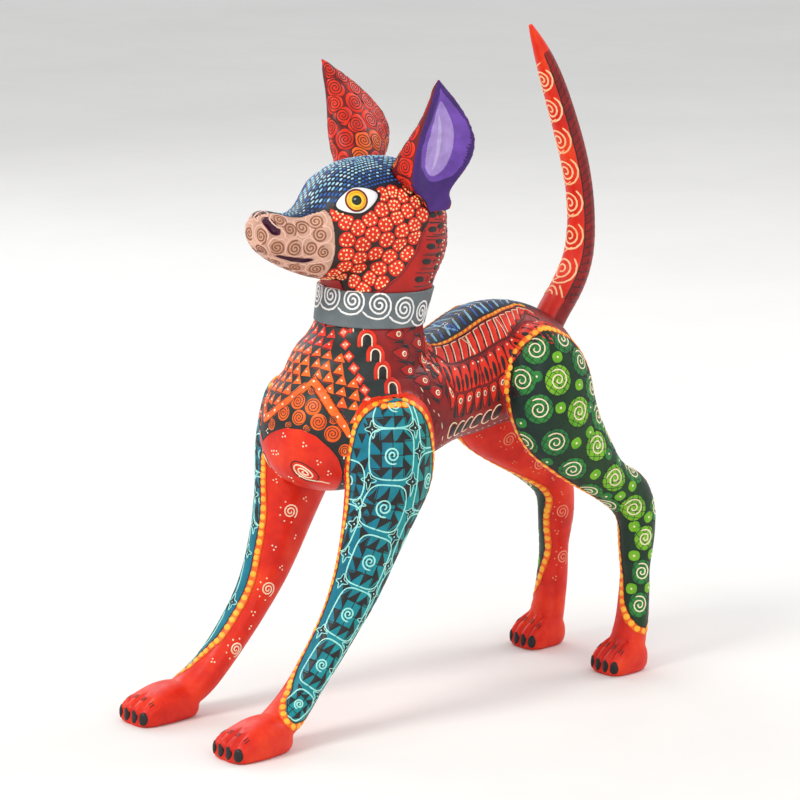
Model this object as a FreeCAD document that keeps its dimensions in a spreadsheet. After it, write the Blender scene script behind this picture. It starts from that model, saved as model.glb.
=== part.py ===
import FreeCAD, Part
import math
import os
from FreeCAD import Placement, Rotation, Vector

# A carved and painted wooden dog, about 240 mm high to the tip of its tail.
# Frame: +Z up, -Y towards the nose, +X towards the dog's left side.
# The origin is on the floor, under the middle of the figure.

doc = FreeCAD.newDocument("alebrije_dog")
sheet = doc.addObject("Spreadsheet::Sheet", "sizes")

# Driving dimensions, in millimetres and degrees.
SIZES = {
    "neck_joint_height": 146.0,
    "neck_dowel_radius": 5.0,
    "neck_dowel_length": 30.0,
    "collar_bottom_radius": 19.7,
    "collar_top_radius": 20.8,
    "collar_wall": 1.6,
    "collar_low": 139.8,
    "collar_high": 152.4,
    "collar_bottom_y": -15.0,
    "collar_top_y": -11.9,
    "collar_tilt": -2.5,
    "head_pivot_y": -13.0,
    "head_yaw": -3.0,
    "peg_radius": 2.5,
    "peg_clearance": 0.05,
    "seat_gap": 0.3,
    "ear_peg_depth": 13.0,
    "ear_peg_reach": 8.0,
    "ear_rim": 0.8,
    "left_ear_stretch": 0.93,
    "right_ear_stretch": 1.0,
    "tail_peg_depth": 14.0,
    "tail_peg_reach": 9.0,
    "dowel_radius": 3.0,
    "shoulder_plane": 18.0,
    "shoulder_ledge": 81.0,
    "shoulder_dowel_y": -26.0,
    "shoulder_dowel_height": 100.0,
    "hip_plane": 14.0,
    "hip_ledge": 94.5,
    "hip_dowel_y": 51.0,
    "hip_dowel_height": 112.0,
    "dowel_length": 16.0,
    "block": 300.0,
}

for number, (alias, value) in enumerate(SIZES.items(), start=1):
    sheet.set(f"A{number}", alias)
    sheet.set(f"B{number}", str(value))
    sheet.setAlias(f"B{number}", alias)

# Stations of each carved length: centre x, y, z, half width across the dog,
# half depth, tilt about X of the section plane (0 is level, 90 is upright)
# and squareness (2 is an ellipse, more is boxier).
STATIONS = {
    "body": [
        (0, -56.5, 101.5, 4.0, 5.0, 90, 2.0),
        (0, -53.5, 102.0, 13.0, 13.0, 90, 2.0),
        (0, -47.0, 104.0, 20.0, 19.5, 90, 2.1),
        (0, -37.0, 105.5, 25.0, 23.8, 90, 2.2),
        (0, -20.0, 108.0, 26.5, 25.0, 90, 2.2),
        (0, 0.0, 109.5, 25.0, 21.5, 90, 2.2),
        (0, 14.0, 112.0, 22.5, 20.0, 90, 2.1),
        (0, 28.0, 116.0, 20.5, 22.5, 90, 2.1),
        (0, 42.0, 118.0, 20.5, 22.5, 90, 2.1),
        (0, 56.0, 117.5, 20.0, 20.5, 90, 2.0),
        (0, 67.0, 116.0, 16.5, 16.0, 90, 2.0),
        (0, 74.0, 114.5, 9.5, 10.0, 90, 2.0),
        (0, 77.0, 113.5, 3.5, 4.0, 90, 2.0),
    ],
    "neck": [
        (0, -24.0, 98.0, 13.0, 17.0, 0, 2.0),
        (0, -24.5, 107.0, 19.0, 24.0, 0, 2.0),
        (0, -23.5, 117.0, 22.0, 27.0, 0, 2.0),
        (0, -20.5, 126.0, 22.0, 26.0, 0, 2.0),
        (0, -17.3, 134.0, 20.3, 22.3, 0, 2.0),
        (0, -15.0, 140.0, 19.1, 19.3, 0, 2.0),
        (0, -13.4, 146.0, 19.5, 19.5, 0, 2.0),
        (0, -11.8, 152.5, 20.0, 20.1, 0, 2.0),
        (0, -9.5, 159.0, 20.4, 21.2, 0, 2.0),
        (0, -6.5, 167.0, 20.2, 21.5, 0, 2.0),
        (0, -5.0, 175.0, 18.5, 19.5, 0, 2.0),
        (0, -4.5, 181.0, 12.0, 13.0, 0, 2.0),
    ],
    "skull": [
        (0, -50.2, 176.3, 3.5, 3.5, 90, 2.2),
        (0, -49.0, 176.0, 6.8, 6.4, 90, 2.3),
        (0, -45.5, 174.8, 8.4, 8.2, 90, 2.4),
        (0, -40.5, 172.7, 9.4, 9.2, 90, 2.4),
        (0, -34.5, 171.0, 10.6, 10.4, 90, 2.3),
        (0, -28.5, 171.6, 12.6, 13.2, 90, 2.2),
        (0, -23.0, 174.0, 15.0, 17.0, 90, 2.1),
        (0, -16.0, 176.2, 17.4, 20.0, 90, 2.1),
        (0, -6.0, 177.3, 20.0, 20.9, 90, 2.0),
        (0, 4.0, 177.5, 20.8, 20.5, 90, 2.0),
        (0, 13.0, 176.5, 19.4, 18.5, 90, 2.0),
        (0, 21.0, 174.5, 15.0, 14.0, 90, 2.0),
        (0, 26.5, 173.0, 6.0, 6.0, 90, 2.0),
    ],
    "tail": [
        (0, 67.7, 129.3, 5.9, 5.9, -34.5, 2.0),
        (0, 75.0, 139.4, 5.9, 5.9, -35.0, 2.0),
        (0, 79.8, 147.0, 5.7, 5.7, -26.0, 2.0),
        (0, 82.6, 155.5, 5.4, 5.4, -12.0, 2.0),
        (0, 83.3, 165.5, 5.1, 5.1, 0.0, 2.0),
        (0, 82.3, 177.0, 5.0, 5.0, 9.0, 2.0),
        (0, 79.8, 188.3, 5.0, 5.0, 15.0, 2.0),
        (0, 76.1, 199.7, 4.9, 4.9, 19.0, 2.0),
        (0, 71.9, 211.0, 4.6, 4.6, 21.0, 2.0),
        (0, 67.2, 222.3, 3.9, 3.9, 24.0, 2.0),
        (0, 61.9, 233.0, 2.3, 2.3, 27.0, 2.0),
        (0, 58.4, 239.5, 0.7, 0.7, 29.0, 2.0),
    ],
    "foreleg": [
        (26.0, -25.0, 117.8, 4.5, 6.5, 0, 2.0),
        (26.0, -25.0, 114.6, 9.0, 13.0, -2, 2.0),
        (26.3, -25.0, 106.0, 11.8, 16.0, -4, 2.0),
        (26.5, -26.0, 96.0, 12.2, 17.0, -8, 2.0),
        (26.5, -28.5, 84.0, 11.8, 15.6, -14, 2.0),
        (26.0, -33.2, 70.5, 10.2, 12.2, -19, 2.0),
        (25.7, -38.6, 56.5, 8.9, 9.6, -24, 2.0),
        (25.4, -45.2, 43.5, 7.6, 7.6, -31, 2.0),
        (25.4, -54.0, 31.0, 6.8, 6.4, -37, 2.0),
        (25.8, -62.8, 20.5, 6.6, 5.9, -42, 2.0),
        (26.6, -71.0, 12.5, 7.2, 5.8, -48, 2.1),
        (27.4, -78.0, 8.0, 7.8, 5.2, -60, 2.2),
    ],
    "forepaw": [
        (28.0, -73.4, 4.4, 3.6, 3.4, 90, 2.2),
        (28.0, -75.2, 5.2, 6.6, 6.0, 90, 2.4),
        (28.2, -80.5, 5.6, 8.2, 7.4, 90, 2.6),
        (28.4, -87.5, 5.0, 9.0, 7.2, 90, 2.8),
        (28.4, -94.0, 4.0, 9.2, 5.8, 90, 2.8),
        (28.4, -98.3, 3.3, 8.2, 4.3, 90, 2.7),
        (28.4, -100.0, 2.9, 5.8, 2.6, 90, 2.5),
    ],
    "hindleg": [
        (20.5, 45.6, 134.6, 4.0, 4.5, 6, 2.0),
        (20.5, 45.4, 131.4, 7.4, 8.2, 8, 2.0),
        (21.0, 47.3, 123.0, 10.0, 14.6, 10, 2.0),
        (21.5, 49.5, 112.5, 11.0, 17.8, 14, 2.0),
        (22.0, 53.0, 101.0, 10.8, 17.4, 22, 2.0),
        (22.3, 60.0, 90.0, 10.0, 14.6, 33, 2.0),
        (22.6, 69.5, 80.5, 9.0, 10.8, 43, 2.0),
        (22.8, 79.5, 72.0, 7.8, 8.2, 48, 2.0),
        (23.0, 89.6, 63.4, 6.9, 8.4, 42, 2.0),
        (23.1, 91.9, 53.5, 6.2, 7.5, 12, 2.0),
        (23.2, 91.3, 42.0, 5.8, 6.0, 0, 2.0),
        (23.3, 90.8, 30.0, 5.6, 5.7, -1, 2.0),
        (23.4, 89.6, 19.0, 6.0, 6.0, -6, 2.0),
        (23.5, 87.4, 10.0, 6.8, 6.6, -12, 2.1),
        (23.6, 85.5, 4.5, 6.8, 6.4, -14, 2.2),
    ],
    "hindpaw": [
        (23.6, 93.8, 4.2, 3.0, 3.0, 90, 2.2),
        (23.6, 92.2, 5.0, 6.0, 5.8, 90, 2.4),
        (23.6, 87.5, 5.6, 7.6, 7.6, 90, 2.7),
        (23.6, 82.0, 5.0, 8.0, 7.0, 90, 2.8),
        (23.6, 78.0, 3.9, 7.9, 5.4, 90, 2.8),
        (23.6, 75.6, 3.2, 6.6, 3.8, 90, 2.6),
        (23.6, 74.6, 2.8, 4.6, 2.2, 90, 2.4),
    ],
}

# The ear is a wedge with a flat, slightly hollow outer side. Its stations run
# from the stem to the tip: distance along the ear, shift backwards, half
# width, depth towards the head's middle, depth of the hollow and how far the
# deep side leans forwards.
EAR_STATIONS = [
    (-2.0, -0.3, 3.2, 7.0, 0.2, 0.5),
    (5.0, -0.8, 5.0, 10.0, 0.6, 2.0),
    (9.5, -0.9, 8.0, 12.5, 1.2, 5.0),
    (14.0, 0.7, 10.8, 14.2, 1.9, 8.0),
    (19.0, 2.5, 12.0, 13.0, 2.4, 8.5),
    (25.0, 3.2, 11.8, 10.0, 2.4, 7.5),
    (34.0, 3.2, 8.9, 6.0, 1.7, 4.5),
    (43.0, 2.0, 4.9, 3.6, 0.8, 1.7),
    (49.0, 0.7, 2.0, 2.0, 0.2, 0.5),
    (52.3, 0.0, 0.6, 0.8, 0.0, 0.0),
]
STATION_FIELDS = ("x", "y", "z", "width", "depth", "tilt", "square")
EAR_FIELDS = ("along", "back", "width", "depth", "hollow", "lean")
COLUMNS = "BCDEFGH"


def write_stations(name, stations, fields, first_row):
    """Put one row of numbers per station on the sheet, each with an alias."""
    for index, station in enumerate(stations):
        row = first_row + index
        sheet.set(f"A{row}", f"{name} station {index}")
        for column, field, value in zip(COLUMNS, fields, station):
            sheet.set(f"{column}{row}", str(value))
            sheet.setAlias(f"{column}{row}", f"{name}_{field}_{index}")
    return first_row + len(stations) + 1


next_row = len(SIZES) + 2
for limb, limb_stations in STATIONS.items():
    next_row = write_stations(limb, limb_stations, STATION_FIELDS, next_row)
write_stations("ear", EAR_STATIONS, EAR_FIELDS, next_row)
doc.recompute()

SECTION_POINTS = 16
TURN = [2 * math.pi * step / SECTION_POINTS for step in range(SECTION_POINTS)]
SMALLEST_VOLUME = 5.0


def get(alias):
    return float(sheet.get(alias))


def power(value, exponent):
    return math.copysign(abs(value) ** exponent, value)


def closed_curve(points):
    curve = Part.BSplineCurve()
    curve.interpolate(Points=points, PeriodicFlag=True)
    return Part.Wire([curve.toShape()])


def section(name, wire, placement):
    feature = doc.addObject("Part::Feature", name)
    feature.Shape = wire
    feature.Placement = placement
    return feature


def loft(name, sections):
    feature = doc.addObject("Part::Loft", name)
    feature.Sections = sections
    feature.Solid = True
    feature.Ruled = False
    return feature


def carve_limb(name, frame=Placement(), grow=0.0):
    """Loft through one limb's stations, made larger by grow all round."""
    sections = []
    for index in range(len(STATIONS[name])):
        data = {field: get(f"{name}_{field}_{index}") for field in STATION_FIELDS}
        exponent = 2.0 / data["square"]
        width = data["width"] + grow
        depth = data["depth"] + grow
        points = [
            Vector(width * power(math.cos(turn), exponent), depth * power(math.sin(turn), exponent), 0)
            for turn in TURN
        ]
        centre = Vector(data["x"], data["y"], data["z"])
        local = Placement(centre, Rotation(Vector(1, 0, 0), data["tilt"]))
        label = f"{name}_section_{index}" if grow == 0 else f"{name}_wide_section_{index}"
        sections.append(section(label, closed_curve(points), frame.multiply(local)))
    return loft(f"{name}_loft" if grow == 0 else f"{name}_wide_loft", sections)


def boolean(kind, name, base, tool):
    feature = doc.addObject(f"Part::{kind}", name)
    feature.Base = base
    feature.Tool = tool
    return feature


def fuse(name, parts):
    feature = doc.addObject("Part::MultiFuse", name)
    feature.Shapes = parts
    return feature


def cylinder(name, radius, height, placement):
    feature = doc.addObject("Part::Cylinder", name)
    feature.setExpression("Radius", radius)
    feature.setExpression("Height", height)
    feature.Placement = placement
    return feature


def block(name, placement, length="block", width="block", height="block"):
    feature = doc.addObject("Part::Box", name)
    feature.setExpression("Length", f"sizes.{length}")
    feature.setExpression("Width", f"sizes.{width}")
    feature.setExpression("Height", f"sizes.{height}")
    feature.Placement = placement
    return feature


def along(direction):
    """Rotation that turns +Z to the direction."""
    return Rotation(Vector(0, 0, 1), direction)


half_block = get("block") / 2

# Collar: an oblique, slightly flared ring with a level inner wall of its own.
collar_turn = Rotation(Vector(1, 0, 0), get("collar_tilt"))


def collar_skin(name, inset):
    ends = []
    for end in ("bottom", "top"):
        level = get("collar_low") if end == "bottom" else get("collar_high")
        ring = doc.addObject("Part::Circle", f"{name}_{end}")
        ring.setExpression("Radius", f"sizes.collar_{end}_radius - {inset}")
        ring.Placement = Placement(Vector(0, get(f"collar_{end}_y"), level), collar_turn)
        ends.append(ring)
    return loft(name, ends)


collar_outside = collar_skin("collar_outside", "0")
collar_inside = collar_skin("collar_inside", "sizes.collar_wall")
collar = boolean("Cut", "collar", collar_outside, collar_inside)

# Head frame: turned a little about the neck.
head_frame = Placement(Vector(0, get("head_pivot_y"), 0), Rotation(Vector(0, 0, 1), get("head_yaw")))

body_loft = carve_limb("body")
neck_loft = carve_limb("neck")
skull_loft = carve_limb("skull", head_frame)
above_joint = block(
    "above_neck_joint", Placement(Vector(-half_block, -half_block, get("neck_joint_height")), Rotation())
)
below_joint = block(
    "below_neck_joint",
    Placement(Vector(-half_block, -half_block, get("neck_joint_height") - get("block")), Rotation()),
)
head_block = boolean("Common", "head_block", fuse("head_and_neck", [skull_loft, neck_loft]), above_joint)
neck_middle = Vector(0, get("neck_y_6"), get("neck_joint_height") - get("neck_dowel_length") / 2)
neck_dowel = cylinder(
    "neck_dowel", "sizes.neck_dowel_radius", "sizes.neck_dowel_length", Placement(neck_middle, Rotation())
)

# Ears: a stem on the side of the head and a tip well above it.
EAR_STEM = Vector(20.3, 14.4, 180.5)
EAR_SEAT_POINT = Vector(14.3, 8.0, 188.2)
EAR_SEAT_NORMAL = Vector(0.8, 0.0, 0.6)
EAR_TIPS = {"left": Vector(30.5, -8.1, 231.9), "right": Vector(-30.5, -13.4, 231.4)}


def mirrored(vector, side):
    return vector if side == "left" else Vector(-vector.x, vector.y, vector.z)


def ear_frame(side):
    """Frame on the stem: local X backwards, local Y outwards, local Z to the tip."""
    stem = head_frame.multVec(mirrored(EAR_STEM, side))
    up = EAR_TIPS[side].sub(stem).normalize()
    outward = head_frame.Rotation.multVec(mirrored(Vector(1, 0, 0), side))
    outward = outward.sub(up * outward.dot(up)).normalize()
    back = up.cross(outward) if side == "left" else outward.cross(up)
    return stem, up, outward, back


def ear_loft(side, grow, name):
    """Loft through the stations of the ear, each made larger all round by grow."""
    stem, up, outward, back = ear_frame(side)
    sections = []
    for index in range(len(EAR_STATIONS)):
        data = {field: get(f"ear_{field}_{index}") for field in EAR_FIELDS}
        width = data["width"] + grow
        centre = stem + up * (data["along"] * get(f"{side}_ear_stretch")) + back * data["back"]
        points = []
        for turn in TURN:
            across = width * math.cos(turn)
            if math.sin(turn) > 0:
                lift = (get("ear_rim") + grow) * math.sin(turn) - data["hollow"] * math.sin(turn) ** 2
            else:
                lift = (data["depth"] + grow) * math.sin(turn)
                across += data["lean"] * math.sin(turn)
            points.append(centre + back * across + outward * lift)
        sections.append(section(f"{name}_section_{index}", closed_curve(points), Placement()))
    return loft(name, sections)


def make_ear(side):
    up = ear_frame(side)[1]
    seat = head_frame.multVec(mirrored(EAR_SEAT_POINT, side))
    normal = head_frame.Rotation.multVec(mirrored(EAR_SEAT_NORMAL, side)).normalize()
    turn = along(normal)
    corner = turn.multVec(Vector(-half_block, -half_block, 0))
    over_seat = block(f"{side}_ear_over_seat", Placement(seat + corner, turn))
    over_pocket = block(
        f"{side}_ear_over_pocket", Placement(seat + corner - normal * get("seat_gap"), turn)
    )
    whole = ear_loft(side, 0.0, f"{side}_ear_loft")
    wide = ear_loft(side, get("seat_gap"), f"{side}_ear_wide_loft")
    blank = boolean("Common", f"{side}_ear_blank", whole, over_seat)
    pocket = boolean("Common", f"{side}_ear_pocket", wide, over_pocket)
    peg_turn = along(up)
    peg = cylinder(
        f"{side}_ear_peg",
        "sizes.peg_radius",
        "sizes.ear_peg_depth + sizes.ear_peg_reach",
        Placement(seat - up * get("ear_peg_depth"), peg_turn),
    )
    socket = cylinder(
        f"{side}_ear_socket",
        "sizes.peg_radius + sizes.peg_clearance",
        "sizes.ear_peg_depth + sizes.ear_peg_reach",
        Placement(seat - up * (get("ear_peg_depth") + get("seat_gap")), peg_turn),
    )
    ear = boolean("Cut", f"{side}_ear", blank, peg)
    return ear, peg, pocket, socket


left_ear, left_ear_peg, left_pocket, left_socket = make_ear("left")
right_ear, right_ear_peg, right_pocket, right_socket = make_ear("right")
head_tools = fuse(
    "head_hollows", [collar, neck_dowel, left_pocket, left_socket, right_pocket, right_socket]
)
head = boolean("Cut", "head", head_block, head_tools)

# Tail: stands on a flat seat on the rump, held by a peg in line with its root.
tail_root = Vector(0, get("tail_y_0"), get("tail_z_0"))
tail_turn = Rotation(Vector(1, 0, 0), get("tail_tilt_0"))
tail_up = tail_turn.multVec(Vector(0, 0, 1))
tail_loft = carve_limb("tail")
tail_peg = cylinder(
    "tail_peg",
    "sizes.peg_radius",
    "sizes.tail_peg_depth + sizes.tail_peg_reach",
    Placement(tail_root - tail_up * get("tail_peg_depth"), tail_turn),
)
tail_bore = cylinder(
    "tail_bore",
    "sizes.peg_radius + sizes.peg_clearance",
    "sizes.tail_peg_depth + sizes.tail_peg_reach + sizes.seat_gap",
    Placement(tail_root - tail_up * get("tail_peg_depth"), tail_turn),
)
tail = boolean("Cut", "tail", tail_loft, tail_bore)
tail_socket = cylinder(
    "tail_socket",
    "sizes.peg_radius + sizes.peg_clearance",
    "sizes.tail_peg_depth + sizes.tail_peg_reach",
    Placement(tail_root - tail_up * (get("tail_peg_depth") + get("seat_gap")), tail_turn),
)
tail_pocket = cylinder(
    "tail_pocket",
    "sizes.tail_width_0 + sizes.seat_gap",
    "sizes.tail_peg_reach",
    Placement(tail_root, tail_turn),
)

# Legs: the left ones are carved, the right ones are their mirror images.


def make_leg(leg_name, limb_name, paw_name, plane, ledge, dowel_y, dowel_height):
    """A leg with its paw, cut flat below and flat where it is glued on."""
    rough = fuse(f"{leg_name}_rough", [carve_limb(limb_name), carve_limb(paw_name)])
    over_floor = block(f"{leg_name}_over_floor", Placement(Vector(-half_block, -half_block, 0), Rotation()))
    standing = boolean("Common", f"{leg_name}_standing", rough, over_floor)
    waste = block(
        f"{leg_name}_waste", Placement(Vector(get(plane) - get("block"), -half_block, get(ledge)), Rotation())
    )
    blank = boolean("Cut", f"{leg_name}_blank", standing, waste)
    start = Vector(get(plane) - get("dowel_length") / 2, get(dowel_y), get(dowel_height))
    dowel = cylinder(
        leg_name.replace("leg", "dowel"),
        "sizes.dowel_radius",
        "sizes.dowel_length",
        Placement(start, along(Vector(1, 0, 0))),
    )
    leg = boolean("Cut", leg_name, blank, dowel)
    return leg, dowel, blank


def mirror(name, source):
    feature = doc.addObject("Part::Mirroring", name)
    feature.Source = source
    feature.Normal = Vector(1, 0, 0)
    feature.Base = Vector(0, 0, 0)
    return feature


front_left_leg, front_left_dowel, front_blank = make_leg(
    "front_left_leg",
    "foreleg",
    "forepaw",
    "shoulder_plane",
    "shoulder_ledge",
    "shoulder_dowel_y",
    "shoulder_dowel_height",
)
rear_left_leg, rear_left_dowel, rear_blank = make_leg(
    "rear_left_leg", "hindleg", "hindpaw", "hip_plane", "hip_ledge", "hip_dowel_y", "hip_dowel_height"
)
front_right_leg = mirror("front_right_leg", front_left_leg)
rear_right_leg = mirror("rear_right_leg", rear_left_leg)
front_right_dowel = mirror("front_right_dowel", front_left_dowel)
rear_right_dowel = mirror("rear_right_dowel", rear_left_dowel)

# Torso: body and lower neck, each hollowed for the parts that join it.


def cut_all(name, base, tools):
    for index, tool in enumerate(tools):
        base = boolean("Cut", name if index == len(tools) - 1 else f"{name}_{index}", base, tool)
    return base


front_blanks = [front_blank, mirror("front_blank_right", front_blank)]
rear_blanks = [rear_blank, mirror("rear_blank_right", rear_blank)]
body_cut = cut_all("body_cut", body_loft, front_blanks + rear_blanks + [tail_pocket, tail_socket])
neck_cut = cut_all("neck_cut", neck_loft, front_blanks)
neck_stump = boolean("Common", "neck_stump", neck_cut, below_joint)
collared_stump = boolean("Cut", "collared_stump", neck_stump, collar)
torso_solid = fuse("torso_solid", [body_cut, collared_stump])
dowels = [front_left_dowel, front_right_dowel, rear_left_dowel, rear_right_dowel]
torso = cut_all("torso", torso_solid, [neck_dowel] + dowels)

NODES = {
    "torso": torso,
    "head": head,
    "collar": collar,
    "neck_dowel": neck_dowel,
    "left_ear": left_ear,
    "right_ear": right_ear,
    "left_ear_peg": left_ear_peg,
    "right_ear_peg": right_ear_peg,
    "tail": tail,
    "tail_peg": tail_peg,
    "front_left_leg": front_left_leg,
    "front_right_leg": front_right_leg,
    "rear_left_leg": rear_left_leg,
    "rear_right_leg": rear_right_leg,
    "front_left_dowel": front_left_dowel,
    "front_right_dowel": front_right_dowel,
    "rear_left_dowel": rear_left_dowel,
    "rear_right_dowel": rear_right_dowel,
}
for node, feature in NODES.items():
    feature.Label = node

doc.recompute()
for thing in doc.Objects:
    if "Invalid" in thing.State or "Error" in thing.State:
        raise RuntimeError(f"{thing.Name} failed: {thing.State}")

os.makedirs("parts", exist_ok=True)
for node, feature in NODES.items():
    shape = feature.Shape
    if shape.isNull() or not shape.isValid():
        raise RuntimeError(f"{node} has no valid shape")
    if len(shape.Solids) != 1 or shape.Volume < SMALLEST_VOLUME:
        raise RuntimeError(f"{node} has {len(shape.Solids)} solids and volume {shape.Volume:.1f}")
    box = shape.BoundBox
    print(
        f"{node}: volume {shape.Volume:.0f}, x {box.XMin:.1f} {box.XMax:.1f}, "
        f"y {box.YMin:.1f} {box.YMax:.1f}, z {box.ZMin:.1f} {box.ZMax:.1f}"
    )
    shape.exportStep(f"parts/{node}.step")
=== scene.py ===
import math
import random

import bmesh
import bpy
import numpy as np
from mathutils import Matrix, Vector
from mathutils.bvhtree import BVHTree

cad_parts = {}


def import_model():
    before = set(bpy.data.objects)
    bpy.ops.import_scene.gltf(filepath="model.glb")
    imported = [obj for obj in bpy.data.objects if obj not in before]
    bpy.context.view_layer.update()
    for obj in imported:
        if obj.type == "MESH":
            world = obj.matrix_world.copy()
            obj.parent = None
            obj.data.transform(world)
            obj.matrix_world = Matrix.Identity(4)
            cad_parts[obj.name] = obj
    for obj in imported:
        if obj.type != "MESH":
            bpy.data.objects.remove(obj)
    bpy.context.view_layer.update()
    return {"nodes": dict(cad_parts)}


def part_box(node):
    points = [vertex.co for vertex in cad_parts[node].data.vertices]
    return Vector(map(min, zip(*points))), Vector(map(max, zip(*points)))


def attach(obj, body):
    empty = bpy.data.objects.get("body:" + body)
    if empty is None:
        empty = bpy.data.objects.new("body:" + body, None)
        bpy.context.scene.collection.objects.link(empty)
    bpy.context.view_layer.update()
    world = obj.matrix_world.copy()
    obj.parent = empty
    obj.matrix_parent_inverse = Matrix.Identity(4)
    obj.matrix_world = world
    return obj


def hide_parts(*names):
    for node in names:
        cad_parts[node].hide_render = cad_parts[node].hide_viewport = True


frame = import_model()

MM = 0.001
SEED = 11
rng = random.Random(SEED)

# ---------------------------------------------------------------- camera and light

AIM = Vector((0.0, -0.001, 0.1092))
AZIMUTH, ELEVATION, DISTANCE = math.radians(51.93), math.radians(11.81), 1.5
SENSOR_WIDTH, LENS = 36.0, 189.0
NEAREST_SEEN, FARTHEST_SEEN = 0.05, 30.0
WORLD_COLOUR, WORLD_STRENGTH = (0.92, 0.93, 0.95, 1), 0.8


def look(name, data, place, target):
    made = bpy.data.objects.new(name, data)
    bpy.context.scene.collection.objects.link(made)
    made.location = place
    made.rotation_euler = (Vector(target) - Vector(place)).to_track_quat("-Z", "Y").to_euler()
    return made


back = Vector((math.sin(AZIMUTH) * math.cos(ELEVATION), -math.cos(AZIMUTH) * math.cos(ELEVATION),
               math.sin(ELEVATION)))
camera_data = bpy.data.cameras.new("camera")
camera_data.sensor_width, camera_data.lens = SENSOR_WIDTH, LENS
camera_data.clip_start, camera_data.clip_end = NEAREST_SEEN, FARTHEST_SEEN
bpy.context.scene.camera = look("camera", camera_data, AIM + back * DISTANCE, AIM)


def light(name, place, size, watts, colour):
    data = bpy.data.lights.new(name, "AREA")
    data.shape, data.size, data.energy, data.color = "DISK", size, watts, colour
    return look(name, data, place, AIM)


light("key_light", (0.05, -1.0, 1.0), 0.5, 8.5, (1.0, 0.97, 0.92))
light("near_fill", (1.1, -0.2, 0.5), 0.8, 2.4, (1.0, 0.98, 0.96))
light("far_fill", (-1.0, 0.1, 0.7), 0.8, 3.6, (0.96, 0.98, 1.0))
light("rear_light", (0.1, 1.0, 0.8), 0.6, 4.0, (1.0, 0.98, 0.95))

bpy.context.scene.view_settings.view_transform = "Standard"
world = bpy.data.worlds.new("studio")
bpy.context.scene.world = world
world.use_nodes = True
background = world.node_tree.nodes["Background"]
background.inputs["Color"].default_value = WORLD_COLOUR
background.inputs["Strength"].default_value = WORLD_STRENGTH

# ---------------------------------------------------------------- materials


def ramp(tree, factor, stops):
    node = tree.nodes.new("ShaderNodeValToRGB")
    elements = node.color_ramp.elements
    while len(elements) < len(stops):
        elements.new(0.5)
    for element, (place, colour) in zip(elements, stops):
        element.position, element.color = place, (*colour, 1)
    tree.links.new(factor, node.inputs["Fac"])
    return node.outputs["Color"]


def noise(tree, scale, detail=4.0, rough=0.55, stretch=(1, 1, 1)):
    place = tree.nodes.new("ShaderNodeTexCoord")
    turn = tree.nodes.new("ShaderNodeMapping")
    turn.inputs["Scale"].default_value = stretch
    tree.links.new(place.outputs["Object"], turn.inputs["Vector"])
    node = tree.nodes.new("ShaderNodeTexNoise")
    node.inputs["Scale"].default_value = scale
    node.inputs["Detail"].default_value = detail
    node.inputs["Roughness"].default_value = rough
    tree.links.new(turn.outputs["Vector"], node.inputs["Vector"])
    return node.outputs["Fac"]


def mix(tree, factor, a, b):
    """Colour a where the factor is 0 and b where it is 1. The numbers are the colour sockets of the node."""
    node = tree.nodes.new("ShaderNodeMix")
    node.data_type = "RGBA"
    for value, socket in ((factor, 0), (a, 6), (b, 7)):
        tree.links.new(value, node.inputs[socket])
    return node.outputs[2]


def attribute(tree, name):
    node = tree.nodes.new("ShaderNodeAttribute")
    node.attribute_name = name
    return node.outputs["Fac"]


def spread(tree, value, low, high, to_low=0.0, to_high=1.0, way="SMOOTHSTEP"):
    node = tree.nodes.new("ShaderNodeMapRange")
    node.interpolation_type = way
    for socket, number in zip(("From Min", "From Max", "To Min", "To Max"), (low, high, to_low, to_high)):
        node.inputs[socket].default_value = number
    tree.links.new(value, node.inputs["Value"])
    return node.outputs["Result"]


def tones(dark, light):
    """The stops of a ramp between two tones."""
    return [(0.3, dark), (0.7, light)]


COAT_ROUGHNESS, BRUSH_DEPTH = 0.18, 0.0006


def material(name, paint, rough=(0.34, 0.5), coat=0.08, bump=0.06, grain=380.0, spec=0.5):
    """A brushed, satin paint: paint(tree) gives its colour, and noise varies its sheen and its height."""
    made = bpy.data.materials.new(name)
    made.use_nodes = True
    tree = made.node_tree
    shader = tree.nodes["Principled BSDF"]
    tree.links.new(paint(tree), shader.inputs["Base Color"])
    tree.links.new(spread(tree, noise(tree, grain * 0.6, 3.0), 0.3, 0.7, *rough), shader.inputs["Roughness"])
    shader.inputs["Coat Weight"].default_value = coat
    shader.inputs["Coat Roughness"].default_value = COAT_ROUGHNESS
    shader.inputs["Specular IOR Level"].default_value = spec
    height = tree.nodes.new("ShaderNodeBump")
    height.inputs["Strength"].default_value = bump
    height.inputs["Distance"].default_value = BRUSH_DEPTH
    tree.links.new(noise(tree, grain, 5.0, 0.6), height.inputs["Height"])
    tree.links.new(height.outputs["Normal"], shader.inputs["Normal"])
    return made


def brushed(dark, light, scale=160.0, stretch=(1, 1, 1)):
    """Paint whose colour drifts between two tones, as brush strokes leave it."""
    def paint(tree):
        return ramp(tree, noise(tree, scale, 5.0, 0.6, stretch), [(0.33, dark), (0.68, light)])
    return paint


# ---------------------------------------------------------------- meshes, in millimetres until they are stored


def numbers(items, what, each, kind):
    """What every item of a mesh holds under a name, in one flat array."""
    values = np.empty(len(items) * each, kind)
    items.foreach_get(what, values)
    return values


def read_mesh(node):
    """A CAD node's corners in mm, and its triangles."""
    mesh = frame["nodes"][node].data
    mesh.calc_loop_triangles()
    co = numbers(mesh.vertices, "co", 3, np.float32)
    tri = numbers(mesh.loop_triangles, "vertices", 3, np.int32)
    return co.reshape(-1, 3).astype(float) / MM, tri.reshape(-1, 3)


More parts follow.
